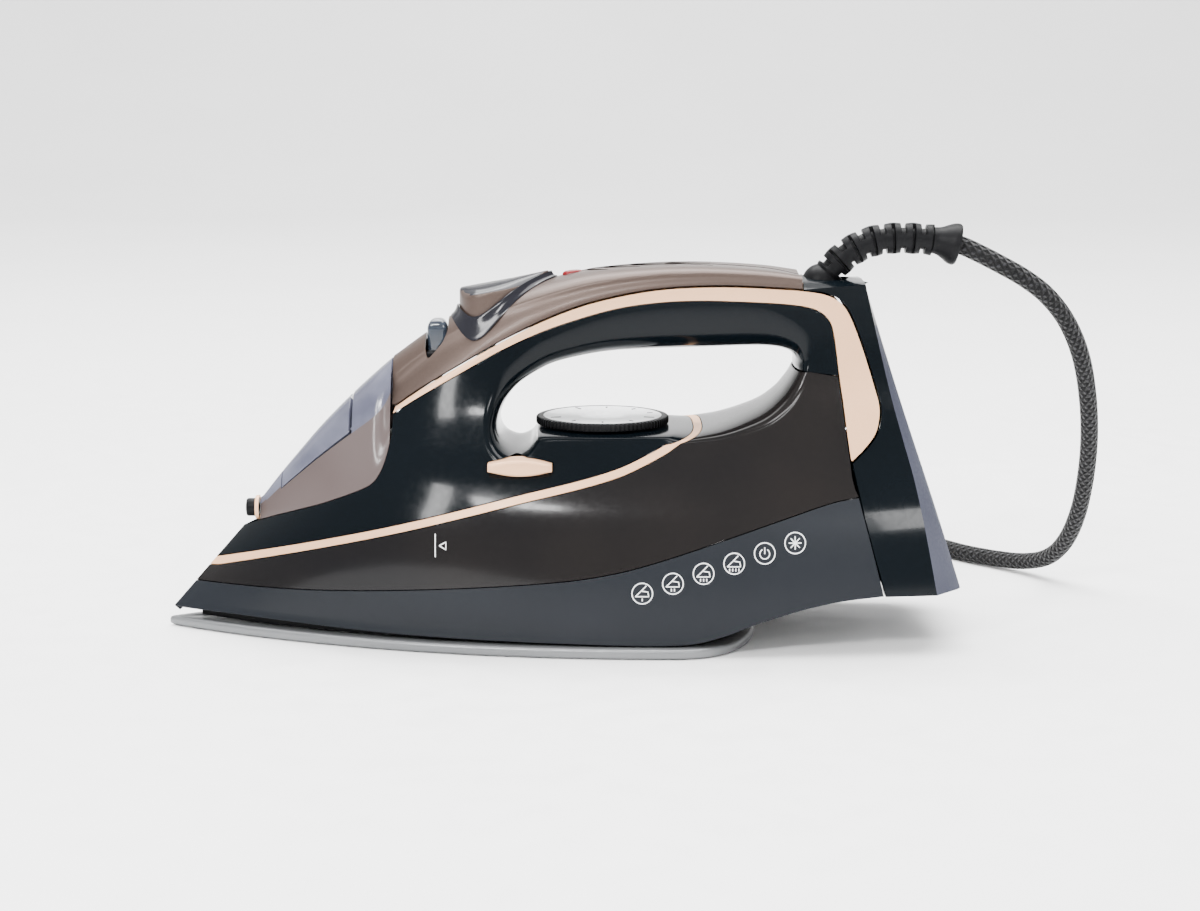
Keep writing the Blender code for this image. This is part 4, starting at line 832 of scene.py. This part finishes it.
def make_housing():
    rim = dense_spline([(*start, *opening) for start, opening in HOUSING_RIM], RIM_STEPS)
    steps = np.linspace(0, 1, 15)

    def station(place):
        at = place * RIM_STEPS
        return np.array([np.interp(at, np.arange(len(rim)), rim[:, k]) for k in range(4)])

    def fan(border, places):
        """The side surface from a border to the opening's rim, and over the rim to y = 0."""
        lines = []
        for edge, place in zip(border, places):
            s = station(place)
            lines.append([side_point(edge + (s[:2] - edge) * f) for f in steps] + roll(s[:2], s[2:]))
        return list(zip(*lines))

    lower = np.vstack([shifted(trim_high, GAP / 2), HOUSING_RIM[0][0]])[::-1]
    lower[-1] = on_nose(lower[-1])
    split = 6 * SPAN + 1
    knots = [0] + [1 + k * SPAN for k in range(6)] + [split]
    places = np.interp(range(split + 1), knots, [0, 0.8, 1.6, 2.3, 3.2, 4.6, 6.0, 7.5])
    patches = [fan(lower[:split + 1], places)]

    window = shifted(window_edge, -GAP / 2)
    top = shifted(ribbon_low[:RIBBON_AT_SEAM * SPAN + 1], -GAP / 2)
    top[-1] += (0, GAP / 2)
    beside = window[WINDOW_CORNER * SPAN:WINDOW_TOP * SPAN + 1]
    bridge = np.linspace(beside[-1], top[0], SPAN)[1:-1]
    border = np.vstack([beside, bridge, top])
    joint = len(beside) + len(bridge)
    knots = [k * SPAN for k in range(4)] + [joint + k * SPAN for k in range(RIBBON_AT_SEAM + 1)]
    values = [7.5, 8.0, 8.6, 9.2, 10, 10.7, 11.4, 12.0, 12.6, 13.4, 14.2, 15.1, 16, 16.8, 17.5, 18.1,
              18.5, 18.9, 19.2, 19.5, 20]
    patches.append(fan(border, np.interp(range(len(border)), knots, values)))

    start = station(7.5)[:2]
    corner = window[WINDOW_CORNER * SPAN]
    up = np.linspace(start, corner, 3 * SPAN + 1)
    down = window[WINDOW_CORNER * SPAN::-1]
    tip = np.linspace(down[-1], on_nose((0, 42.0)), SPAN + 1)
    tail_top = np.vstack([up, down[1:], tip[1:]])
    tail_low = lower[split:]
    even = np.linspace(0, 1, len(tail_top))
    tail_low = np.column_stack([np.interp(even, np.linspace(0, 1, len(tail_low)), tail_low[:, k])
                                for k in (0, 1)])
    patches.append([side_row(tail_low, tail_top, f, end=-1) for f in steps])
    housing = shell("housing_shell", patches, "black_gloss", edge=0.15)
    hole = [[(SELF_CLEAN[0] + u * 1.045, y, SELF_CLEAN[1] + v * 1.12) for u, v in lens_outline()]
            for y in (-48, -20)]
    carve(housing, stack("clean_hole", hole, "steel"))
    settle(housing, "front_housing")

    rib = [[(x, y, z) for x, z in ((101, 112), (109, 112), (117.5, 74), (107, 74))] for y in (-0.5, 0.5)]
    settle(stack("pillar_rib", rib, "matt_black"), slot="black_plastic")

    low = shifted(ribbon_low, GAP / 2)
    high = shifted(ribbon_high, -GAP)
    for name, side in (("left", 1), ("right", -1)):
        loops = []
        for a, b in zip(low, high):
            near = [side_point(a + (b - a) * f, 0.12 * sin(pi * f)) for f in np.linspace(0, 1, 7)]
            section = near + [p + (0, 1.2, 0) for p in near[::-1]]
            loops.append([(p[0], side * p[1], p[2]) for p in section])
        ribbon_piece = stack("gold_ribbon_" + name, loops, "rose_gold", edge=0.25)
        settle(ribbon_piece, "handle_trim_" + name)


def lens_outline():
    """A lens shape with blunt ends."""
    half_x, half_z, count = 12.6, 3.3, 25
    top = [(-half_x + 2 * half_x * k / (count - 1),
            half_z * (0.42 + 0.58 * sin(pi * k / (count - 1)))) for k in range(count)]
    return top + [(x, -z) for x, z in top[::-1]]


def bezier_section(edge, ridge, steps):
    """From a side point over the crown to the ridge at y = 0, leaving along the side surface."""
    start = side_point(edge)
    end = np.array([ridge[0], 0.0, ridge[1]])
    reach = np.array([ridge[0] - edge[0], ridge[1] - edge[1]])
    length = hypot(*reach)
    if length < 0.01:
        return [start for _ in steps]
    probe = side_point(np.asarray(edge) + reach / length)
    out = probe - start
    out /= np.linalg.norm(out)
    size = np.linalg.norm(end - start)
    p1 = start + out * size * 0.42
    p2 = end + np.array([0, start[1] * 0.62, 0])
    points = []
    for t in steps:
        u = 1 - t
        points.append(u ** 3 * start + 3 * u * u * t * p1 + 3 * u * t * t * p2 + t ** 3 * end)
    return points


def cover_section(x, steps):
    low = along(ribbon_high[:RIBBON_AT_COVER_END * SPAN + 1], x)
    return bezier_section((x, low + 1.5 * GAP), (x, along(top_ridge, x)), steps)


def cover_height(x, y):
    """Height of the handle's taupe top at a plan point."""
    line = cover_section(x, np.linspace(0, 1, 25))
    return float(np.interp(-abs(y), [p[1] for p in line], [p[2] for p in line]))


def creased(section, x, steps):
    """The cover's side is hollowed below a crease that runs back from the nose and dies out at the heel."""
    crease = float(np.interp(x, [-66, -50, -25, 5, 40, 90], [0.44, 0.50, 0.46, 0.34, 0.26, 0.2]))
    depth = float(np.interp(x, [-66, 50, 97], [1.0, 0.7, 0.1]))
    out = []
    for p, t in zip(section, steps):
        hollow = depth * sin(pi * (t / crease) ** 1.6) if t < crease else 0.0
        out.append(p + (0, 0.85 * hollow, -0.5 * hollow))
    return out


THIN_WALL = 1.8


def make_handle_top():
    steps = np.linspace(0, 1, 41)
    sections = [creased(cover_section(x, steps), x, steps) for x in np.linspace(-66.2, 97.0, 120)]
    cover = shell("handle_cover", [list(zip(*sections))], "taupe_metallic", THIN_WALL)
    carve(cover, prism("hole", teardrop(1.8, 24), 100, 160),
          prism("slot", rounded_box(NEEDLE_X, 0, 4.6, 10.6, 2.0), 100, 140),
          prism("lamp", disc(6, 0, 2.5), 130, 160))
    settle(cover, "handle_top_cover")
    # A thin matt black strip along the top ridge: a painted dark reflection along the handle's top edge.
    loops = []
    for x in np.linspace(9.0, 96.5, 60):
        half = 1.7 * ease((x - 9.0) / 12) + 0.05
        top = along(top_ridge, x)
        rise = ((-half, -0.5), (-half, -0.02), (0, 0.1), (half, -0.02), (half, -0.5))
        loops.append([(x, y, top + lift) for y, lift in rise])
    settle(stack("ridge_painted_reflection", loops, "matt_black"), slot="black_gloss")
    # Four pairs of thin matt black strips near the ridge: painted shade standing in for the shade inside the
    # cover's grooves.
    for k, (first, last) in enumerate(((11.6, 20.0), (18.5, 33.0), (29.0, 47.5), (43.0, 62.0))):
        for side in (1, -1):
            loops = []
            for f in np.linspace(0, 1, 16):
                half = 0.005 + 0.03 * sin(pi * f ** 0.5)
                at = 0.95 - 0.2 * f
                low, high = cover_section(first + (last - first) * f, [at - half, at + half])
                loops.append([(p[0], side * p[1], p[2] + lift) for p, lift in
                              ((low, -0.5), (low, 0.08), (high, 0.08), (high, -0.5))])
            groove_painted_shade = stack("leaf_%d_%s" % (k, "left" if side > 0 else "right"), loops, "matt_black")
            settle(groove_painted_shade, slot="black_gloss")

    def section(x, part):
        low = along(window_edge, x) + GAP / 2
        return bezier_section((x, low), (x, along(nose_ridge, x)), part)

    low_part = np.linspace(0, 0.45, 9)
    high_part = np.linspace(0.45, 1, 11)
    door_part = np.linspace(0.475, 1, 11)
    whole = np.linspace(-121.4, -66.8, 62)
    patches = []
    for places, part in ((whole, low_part), (np.linspace(-121.4, -112.4, 8), high_part),
                         (np.linspace(-82.3, -66.8, 15), high_part)):
        lines = [section(x, part) for x in places]
        patches.append(list(zip(*lines)))
    window = shell("nose_glass", patches, "window_plastic", THIN_WALL, edge=0.25)
    window.data.materials.append(MATERIALS["door_plastic"])
    for face in window.data.polygons:
        middle = face.center * 1000
        if abs(middle.y) < -section(middle.x, [0.46])[0][1] - 0.3:
            face.material_index = 1
    settle(window, "nose_window")
    lines = [section(x, door_part) for x in np.linspace(-112.0, -83.7, 30)]
    door = shell("fill_flap", [list(zip(*lines))], "door_plastic", THIN_WALL, edge=0.25)
    settle(door, "fill_door", body="door", slot="window_plastic")


def button_half_width(x):
    s = (x - BUTTON_FRONT_X) / (BUTTON_TIP_X - BUTTON_FRONT_X)
    if s < 0.3:
        return BUTTON_HALF_WIDTH * sqrt(max(0, 1 - (1 - s / 0.3) ** 2.4))
    return BUTTON_HALF_WIDTH * (1 - ((s - 0.3) / 0.7) ** 1.7)


def teardrop(offset, count=40):
    """Plan outline of the thumb buttons together: blunt in front, drawn out to a tip at the rear."""
    near = []
    for k in range(count + 1):
        s = 0.5 - 0.5 * cos(pi * k / count)
        x = BUTTON_FRONT_X + (BUTTON_TIP_X - BUTTON_FRONT_X) * s
        near.append((x, -button_half_width(x)))
    line = np.array(near + [(x, -y) for x, y in near[-2:0:-1]])
    out = line - np.array([BUTTON_FRONT_X + 14, 0])
    return [tuple(p) for p in line + offset * out / np.linalg.norm(out, axis=1)[:, None]]


def button_height(x, y):
    middle = np.interp(x, [-39.5, -30, -18, -4], [139.3, 141.0, 143.2, 146.2])
    wide = max(button_half_width(x), 3.0)
    return middle - 3.6 * min(1, abs(y) / wide) ** 2.2 * min(1, wide / 8)


def make_buttons():
    outline = teardrop(0.0)
    half = len(outline) // 2
    for kind, side in (("spray", -1), ("steam", 1)):
        plan = [(x, y * 0.985) for x, y in outline[1:half]]
        tip = outline[half][0] - 1.5
        plan.append((tip, -0.35))
        plan += [(x, -0.35) for x in np.linspace(tip - 1.5, outline[0][0] + 0.3, 30)]
        middles = [min(max(x, -33.0), -12.0) for x, _ in plan]
        spine = [(cx, -2.0 - 3.0 * min(1, (-12 - cx) / 8)) for cx in middles]
        loops = [[(x, -side * y, 121.0 + 0.42 * (x + 39.5)) for x, y in plan]]
        for share, drop in ((0.0, 1.1), (0.008, 0.55), (0.03, 0.18), (0.07, 0.02), (0.2, 0), (0.4, 0),
                            (0.65, 0), (0.85, 0), (0.97, 0)):
            loop = []
            for (x, y), (cx, cy) in zip(plan, spine):
                px, py = x + (cx - x) * share, y + (cy - y) * share
                loop.append((px, -side * py, button_height(px, py) - drop))
            loops.append(loop)
        button = stack(kind + "_key", loops, "taupe_metallic")
        button.data.materials.append(MATERIALS["smoke_grey"])
        for face in button.data.polygons:
            if face.normal.z > 0.72:
                face.material_index = 1
        settle(button, kind + "_button", body=kind + "_key")
    loops = []
    for offset, drop in ((0.6, -4.0), (0.6, 2.6), (0.75, 3.0), (1.05, 3.0), (1.3, 2.5), (1.7, 1.6),
                         (2.2, 1.0), (2.8, 0.7), (3.3, 0.55), (3.5, 0.3), (3.3, 0.15), (1.9, 0.1),
                         (1.9, -4.0)):
        loops.append([(x, y, cover_height(min(max(x, -44.0), 8.0), y) + drop) for x, y in teardrop(offset)])
    settle(stack("key_collar", loops, "smoke_grey", True), "button_collar")


# ---------------------------------------------------------------- controls
def make_controls():
    def knurl(a, row):
        return 0.22 * cos(90 * a) if row in (2, 3, 4, 5) else 0.0

    rim = DIAL_RADIUS
    profile = [(0.01, 0.0), (rim - 1.2, 0), (rim - 0.5, 0.15), (rim - 0.3, 0.6), (rim - 0.3, 2.4),
               (rim - 0.7, 2.9), (rim - 1.6, 3.15), (rim - 3.0, 3.1), (rim - 3.5, 2.85), (16.0, 2.75),
               (9.6, 2.5), (9.0, 2.3), (7.8, 1.7), (7.2, 1.6), (0.01, 1.6)]
    place = (DIAL_X, 0, DIAL_BOTTOM_Z)
    dial = turned("dial_wheel", profile, "black_plastic", place, "Z", 540, wave=knurl)
    settle(dial, "temperature_dial", body="dial")
    face = [(0.01, 1.7), (7.0, 1.75), (8.2, 2.0), (9.4, 2.7), (16, 2.95), (rim - 3.4, 3.1), (rim - 2.6, 3.0),
            (rim - 2.6, 2.6), (9.4, 2.3), (7.0, 1.4), (0.01, 1.4)]
    settle(turned("dial_face", face, "print_white", place, "Z", 96), body="dial", slot="white_plastic")
    for k in range(9):
        a = radians(200 + 35 * k)
        outline = rounded_box(0, 0, 2.2 if k % 4 == 0 else 1.2, 0.35, 0.3)
        loops = [[(DIAL_X + (20 + u) * cos(a) - v * sin(a), (20 + u) * sin(a) + v * cos(a), z)
                  for u, v in outline] for z in (DIAL_BOTTOM_Z + 2.9, DIAL_BOTTOM_Z + 3.2)]
        settle(stack("dial_tick_%d" % k, loops, "black_plastic"), body="dial")

    lens = []
    for grow, z in ((1.0, 142.6), (1.0, 145.2), (0.93, 145.75), (0.78, 146.1), (0.5, 146.3), (0.15, 146.35)):
        plan = rounded_box(6, 0, 4.1 * grow, 2.5 * grow, 2.4 * grow)
        lens.append([(x, y, z + 0.09 * (x - 6)) for x, y in plan])
    settle(stack("lamp_lens", lens, "red_lens"), "pilot_lens")
    knob = []
    for a in np.linspace(0, 1.5, 12):
        wide = 4.05 * cos(a) ** 0.75
        plan = rounded_box(NEEDLE_X, 0, wide, 1.4 + wide * 0.88, 0.45 * wide)
        knob.append([(x, y, 122.6 + 4.3 * sin(a)) for x, y in plan])
    knob.insert(0, [(x, y, 114.5) for x, y, z in knob[0]])
    settle(stack("slider_knob", knob, "blue_clear"), "steam_slider", body="slider")
    clean = []
    for y, grow in ((-40.6, 0.55), (-40.45, 0.8), (-40.1, 0.92), (-39.4, 1.0), (-30.0, 1.0)):
        clean.append([(SELF_CLEAN[0] + u * grow, y, SELF_CLEAN[1] + v * grow) for u, v in lens_outline()])
    settle(stack("clean_key", clean, "rose_gold"), "self_clean_button", body="self_clean_key")


def make_nozzle():
    tip = [(2.6, 0.0), (3.3, 0.15), (3.65, 0.6), (3.7, 1.2), (3.7, 5.2), (2.0, 5.2), (2.0, 3.0), (0.9, 3.0),
           (0.9, 0.9), (1.4, 0.0)]
    settle(turned("nozzle_tip", tip, "black_plastic", (-127.4, 0, 49.3), "X", 40, True), "spray_nozzle")
    base = [(4.1, 2.0), (4.6, 2.05), (4.9, 2.4), (5.0, 3.6), (4.1, 3.6)]
    settle(turned("nozzle_collar", base, "rose_gold", (-125.6, 0, 49.3), "X", 48, True), "nozzle_base")


# ---------------------------------------------------------------- heel
def make_heel():
    first = dense_spline(HEEL_FRONT, SPAN)
    stretch = ribbon_high[(len(RIBBON) - 2) * SPAN:RIBBON_AT_COVER_END * SPAN - 1:-1]
    bridge = np.linspace(first[-1], stretch[0], 5)[1:-1]
    front = shifted(np.vstack([first, bridge, stretch]), -1.2 * GAP)
    front[-1] = (97.4 + GAP / 2, 139.7 + GAP)
    front[0][1] = HEEL_BOTTOM_Z
    last = len(front) - 1
    levels = front[:, 1].copy()
    bend, crown = last - 4 * SPAN, last - 2 * SPAN
    levels[crown:] = np.interp(range(crown, last + 1), [crown, last - SPAN, last], [138.6, 141.0, 142.0])
    levels[bend:crown + 1] = np.linspace(levels[bend], 138.6, crown + 1 - bend)
    rows = []
    for point, z in zip(front, levels):
        edge = np.array([along(chamfer_line, z, 1, 0), z])
        wide = half_width(*edge)
        back = heel_x(z)
        row = [side_point(point + (edge - point) * f) for f in np.linspace(0, 1, 9)]
        corner = np.array([edge[0] + (back - edge[0]) * 0.86, -wide * 0.76, z])
        row += [row[-1] + (corner - row[-1]) * f for f in (0.5, 1.0)]
        row.append(np.array([back, -wide * 0.70, z]))
        row += [np.array([back, -wide * 0.70 * f, z]) for f in (0.75, 0.5, 0.25, 0)]
        rows.append(row)
    floor = [[np.array([p[0], p[1] * f, p[2]]) for p in rows[0]] for f in (1, 0.66, 0.33, 0)]
    top = rows[-1]
    ridge_line = np.vstack([top_ridge, [(110, 144.0), (122, 143.0)]])
    count = 9
    ridge = [np.array([p[0], 0, along(ridge_line, p[0])]) for p in top[:count]]
    ridge += [top[-1]] * (len(top) - count)
    cap = []
    for f in np.linspace(0, 1, 7):
        cap.append([a + (b - a) * f + np.array([0, 0, (b[2] - a[2]) * 0.3 * (1 - f) * min(1, 4 * f)])
                    for a, b in zip(top, ridge)])
    heel = shell("heel_shell", [rows, floor, cap], "black_gloss", sharp=22, edge=0.5)
    # Faces turned rearwards and sideways below the top take a lighter grey-blue: a painted reflection of the
    # floor.
    heel.data.materials.append(MATERIALS["chamfer_painted_reflection"])
    for face in heel.data.polygons:
        n = face.normal
        if n.x > 0.35 and abs(n.y) > 0.3 and face.center.z * 1000 < 139:
            face.material_index = 1
    carve(heel, prism("ball_hole", disc(BALL_X + 2.0, 0, 9.4, 48), 130, 160))
    settle(heel, "rear_cover")


# ---------------------------------------------------------------- printed marks
PRINT_HEIGHT = 0.06


def in_short_steps(line):
    """The same line with points close enough together to follow the curved shell."""
    points = [np.array(line[0], dtype=float)]
    for a, b in zip(np.array(line[:-1]), np.array(line[1:])):
        count = max(1, int(hypot(*(b - a)) / 0.9))
        points += [a + (b - a) * k / count for k in range(1, count + 1)]
    return np.array(points)


def strokes(name, lines, width):
    """Thin printed lines on the near side; each line is a list of (x, z) points."""
    verts, faces = [], []
    for line in lines:
        p = in_short_steps(line)
        step = np.gradient(p, axis=0)
        step /= np.linalg.norm(step, axis=1)[:, None]
        side = np.column_stack([-step[:, 1], step[:, 0]]) * width / 2
        base = len(verts)
        for a, s in zip(p, side):
            for reach, height in ((1, 0.0), (1, PRINT_HEIGHT), (-1, PRINT_HEIGHT), (-1, 0.0)):
                verts.append(tuple(side_point(a + s * reach, height)))
        count = len(p)
        for i in range(count - 1):
            for k in range(4):
                j = (k + 1) % 4
                faces.append((base + 4 * i + k, base + 4 * i + j, base + 4 * i + 4 + j, base + 4 * i + 4 + k))
        faces.append((base, base + 1, base + 2, base + 3))
        faces.append(tuple(base + 4 * (count - 1) + k for k in (3, 2, 1, 0)))
    settle(solid(name, verts, faces, "print_white"), slot="white_plastic")


def ring_line(x, z, radius, start=0.0, stop=360.0):
    return [(x + radius * cos(radians(a)), z + radius * sin(radians(a)))
            for a in np.linspace(start, stop, 41)]


def make_marks():
    """Six plain ringed symbols on the skirt and a level mark on the tank, with no lettering."""
    lines = []
    for k in range(6):
        x, z = 33.4 + 11.9 * k, 25.4 + 3.8 * k
        lines.append(ring_line(x, z, 4.0))
        if k < 4:
            lines.append([(x - 2.7, z - 1.2), (x + 2.5, z - 1.2), (x + 2.2, z + 0.6), (x - 0.4, z + 1.0),
                          (x - 2.7, z - 1.2)])
            lines.append([(x - 0.4, z + 1.0), (x + 1.6, z + 3.0)])
            lines += [[(x + d, z - 1.9), (x + d, z - 3.0)] for d in np.linspace(-0.6 * k, 0.6 * k, k + 1)]
        elif k == 4:
            lines.append(ring_line(x, z - 0.2, 1.9, 120, 420))
            lines.append([(x, z - 0.2), (x, z + 2.3)])
        else:
            for a in range(0, 180, 45):
                u, v = 2.5 * cos(radians(a)), 2.5 * sin(radians(a))
                lines.append([(x - u, z - v), (x + u, z + v)])
    strokes("skirt_symbols", lines, 0.42)
    level = [[(-47.4, 38.0), (-47.4, 47.0)], [(-45.8, 42.5), (-43.2, 44.0), (-43.2, 41.0), (-45.8, 42.5)]]
    strokes("level_mark", level, 0.38)


# ---------------------------------------------------------------- studio
FLOOR_FRONT_Y = -5
SWEEP_START_Y = 2.4
SWEEP_RADIUS = 1.6
FLOOR_CLEARANCE = 0.0002
# How strong the world's light is behind the camera and ahead of it, and where along Y it changes.
WORLD_BEHIND, WORLD_AHEAD = 0.9, 2.6
FADE_FROM, FADE_TO = -0.4, 0.7
# name, place, aim, width and depth in metres, power in watts
LAMPS = (("key", (-0.62, -0.95, 0.75), (0, 0, 0.07), 0.14, 0.45, 12),
         ("fill", (0.55, -1.1, 0.62), (0, 0, 0.07), 0.14, 0.30, 5),
         ("front", (-0.22, -0.9, 0.80), (0, 0, 0.07), 0.30, 0.07, 8),
         ("top", (0.1, 0.25, 1.5), (0, 0, 0.07), 1.8, 1.2, 90),
         ("back", (0.0, 1.2, 2.6), (0, 3.6, 0.07), 3.0, 1.0, 160))


def make_floor():
    """A pale floor that sweeps up into a backdrop."""
    sweep = [(y, 0) for y in np.linspace(FLOOR_FRONT_Y, SWEEP_START_Y, 12)]
    sweep += [(SWEEP_START_Y + SWEEP_RADIUS * sin(a), SWEEP_RADIUS - SWEEP_RADIUS * cos(a))
              for a in np.linspace(0, pi / 2, 33)[1:]]
    sweep += [(SWEEP_START_Y + SWEEP_RADIUS, z) for z in (2.2, 3.0, 4.0)]
    verts, faces = grid([[(x, y, z) for x in np.linspace(-6, 6, 13)] for y, z in sweep])
    mesh = bpy.data.meshes.new("floor")
    mesh.from_pydata(verts, [], faces)
    mesh.materials.append(MATERIALS["floor"])
    mesh.shade_smooth()
    floor = bpy.data.objects.new("floor", mesh)
    floor.location.z = -FLOOR_CLEARANCE
    bpy.context.collection.objects.link(floor)


def make_studio():
    make_floor()
    world = bpy.data.worlds.new("studio")
    bpy.context.scene.world = world
    world.use_nodes = True
    nodes, links = pattern(world)
    where = nodes.new("ShaderNodeTexCoord")
    split = nodes.new("ShaderNodeSeparateXYZ")
    links.new(where.outputs["Generated"], split.inputs["Vector"])
    strength = between(world, split.outputs["Y"], WORLD_BEHIND, WORLD_AHEAD, FADE_FROM, FADE_TO)
    strength.node.interpolation_type = "SMOOTHSTEP"
    set_sockets(nodes["Background"], Color=(1, 1, 1, 1))
    links.new(strength, nodes["Background"].inputs["Strength"])
    for name, place, aim, wide, deep, power in LAMPS:
        data = bpy.data.lights.new(name, "AREA")
        data.shape = "RECTANGLE"
        data.size = wide
        data.size_y = deep
        data.energy = power
        lamp = bpy.data.objects.new(name, data)
        lamp.location = place
        lamp.rotation_euler = (Vector(aim) - Vector(place)).to_track_quat("-Z", "Y").to_euler()
        bpy.context.collection.objects.link(lamp)


def dress_cad_nodes():
    """Every CAD node that stays gets the procedural finish of its slot."""
    slots = {part["node"]: part["material_slot"] for part in frame["record"]["subparts"]}
    for name, obj in frame["nodes"].items():
        obj.data.materials.clear()
        obj.data.materials.append(MATERIALS[slots[name]])


make_camera()
dress_cad_nodes()
make_cord()
make_sole()
make_skirt()
make_tank()
make_housing()
make_handle_top()
make_buttons()
make_controls()
make_nozzle()
make_heel()
make_marks()
make_studio()
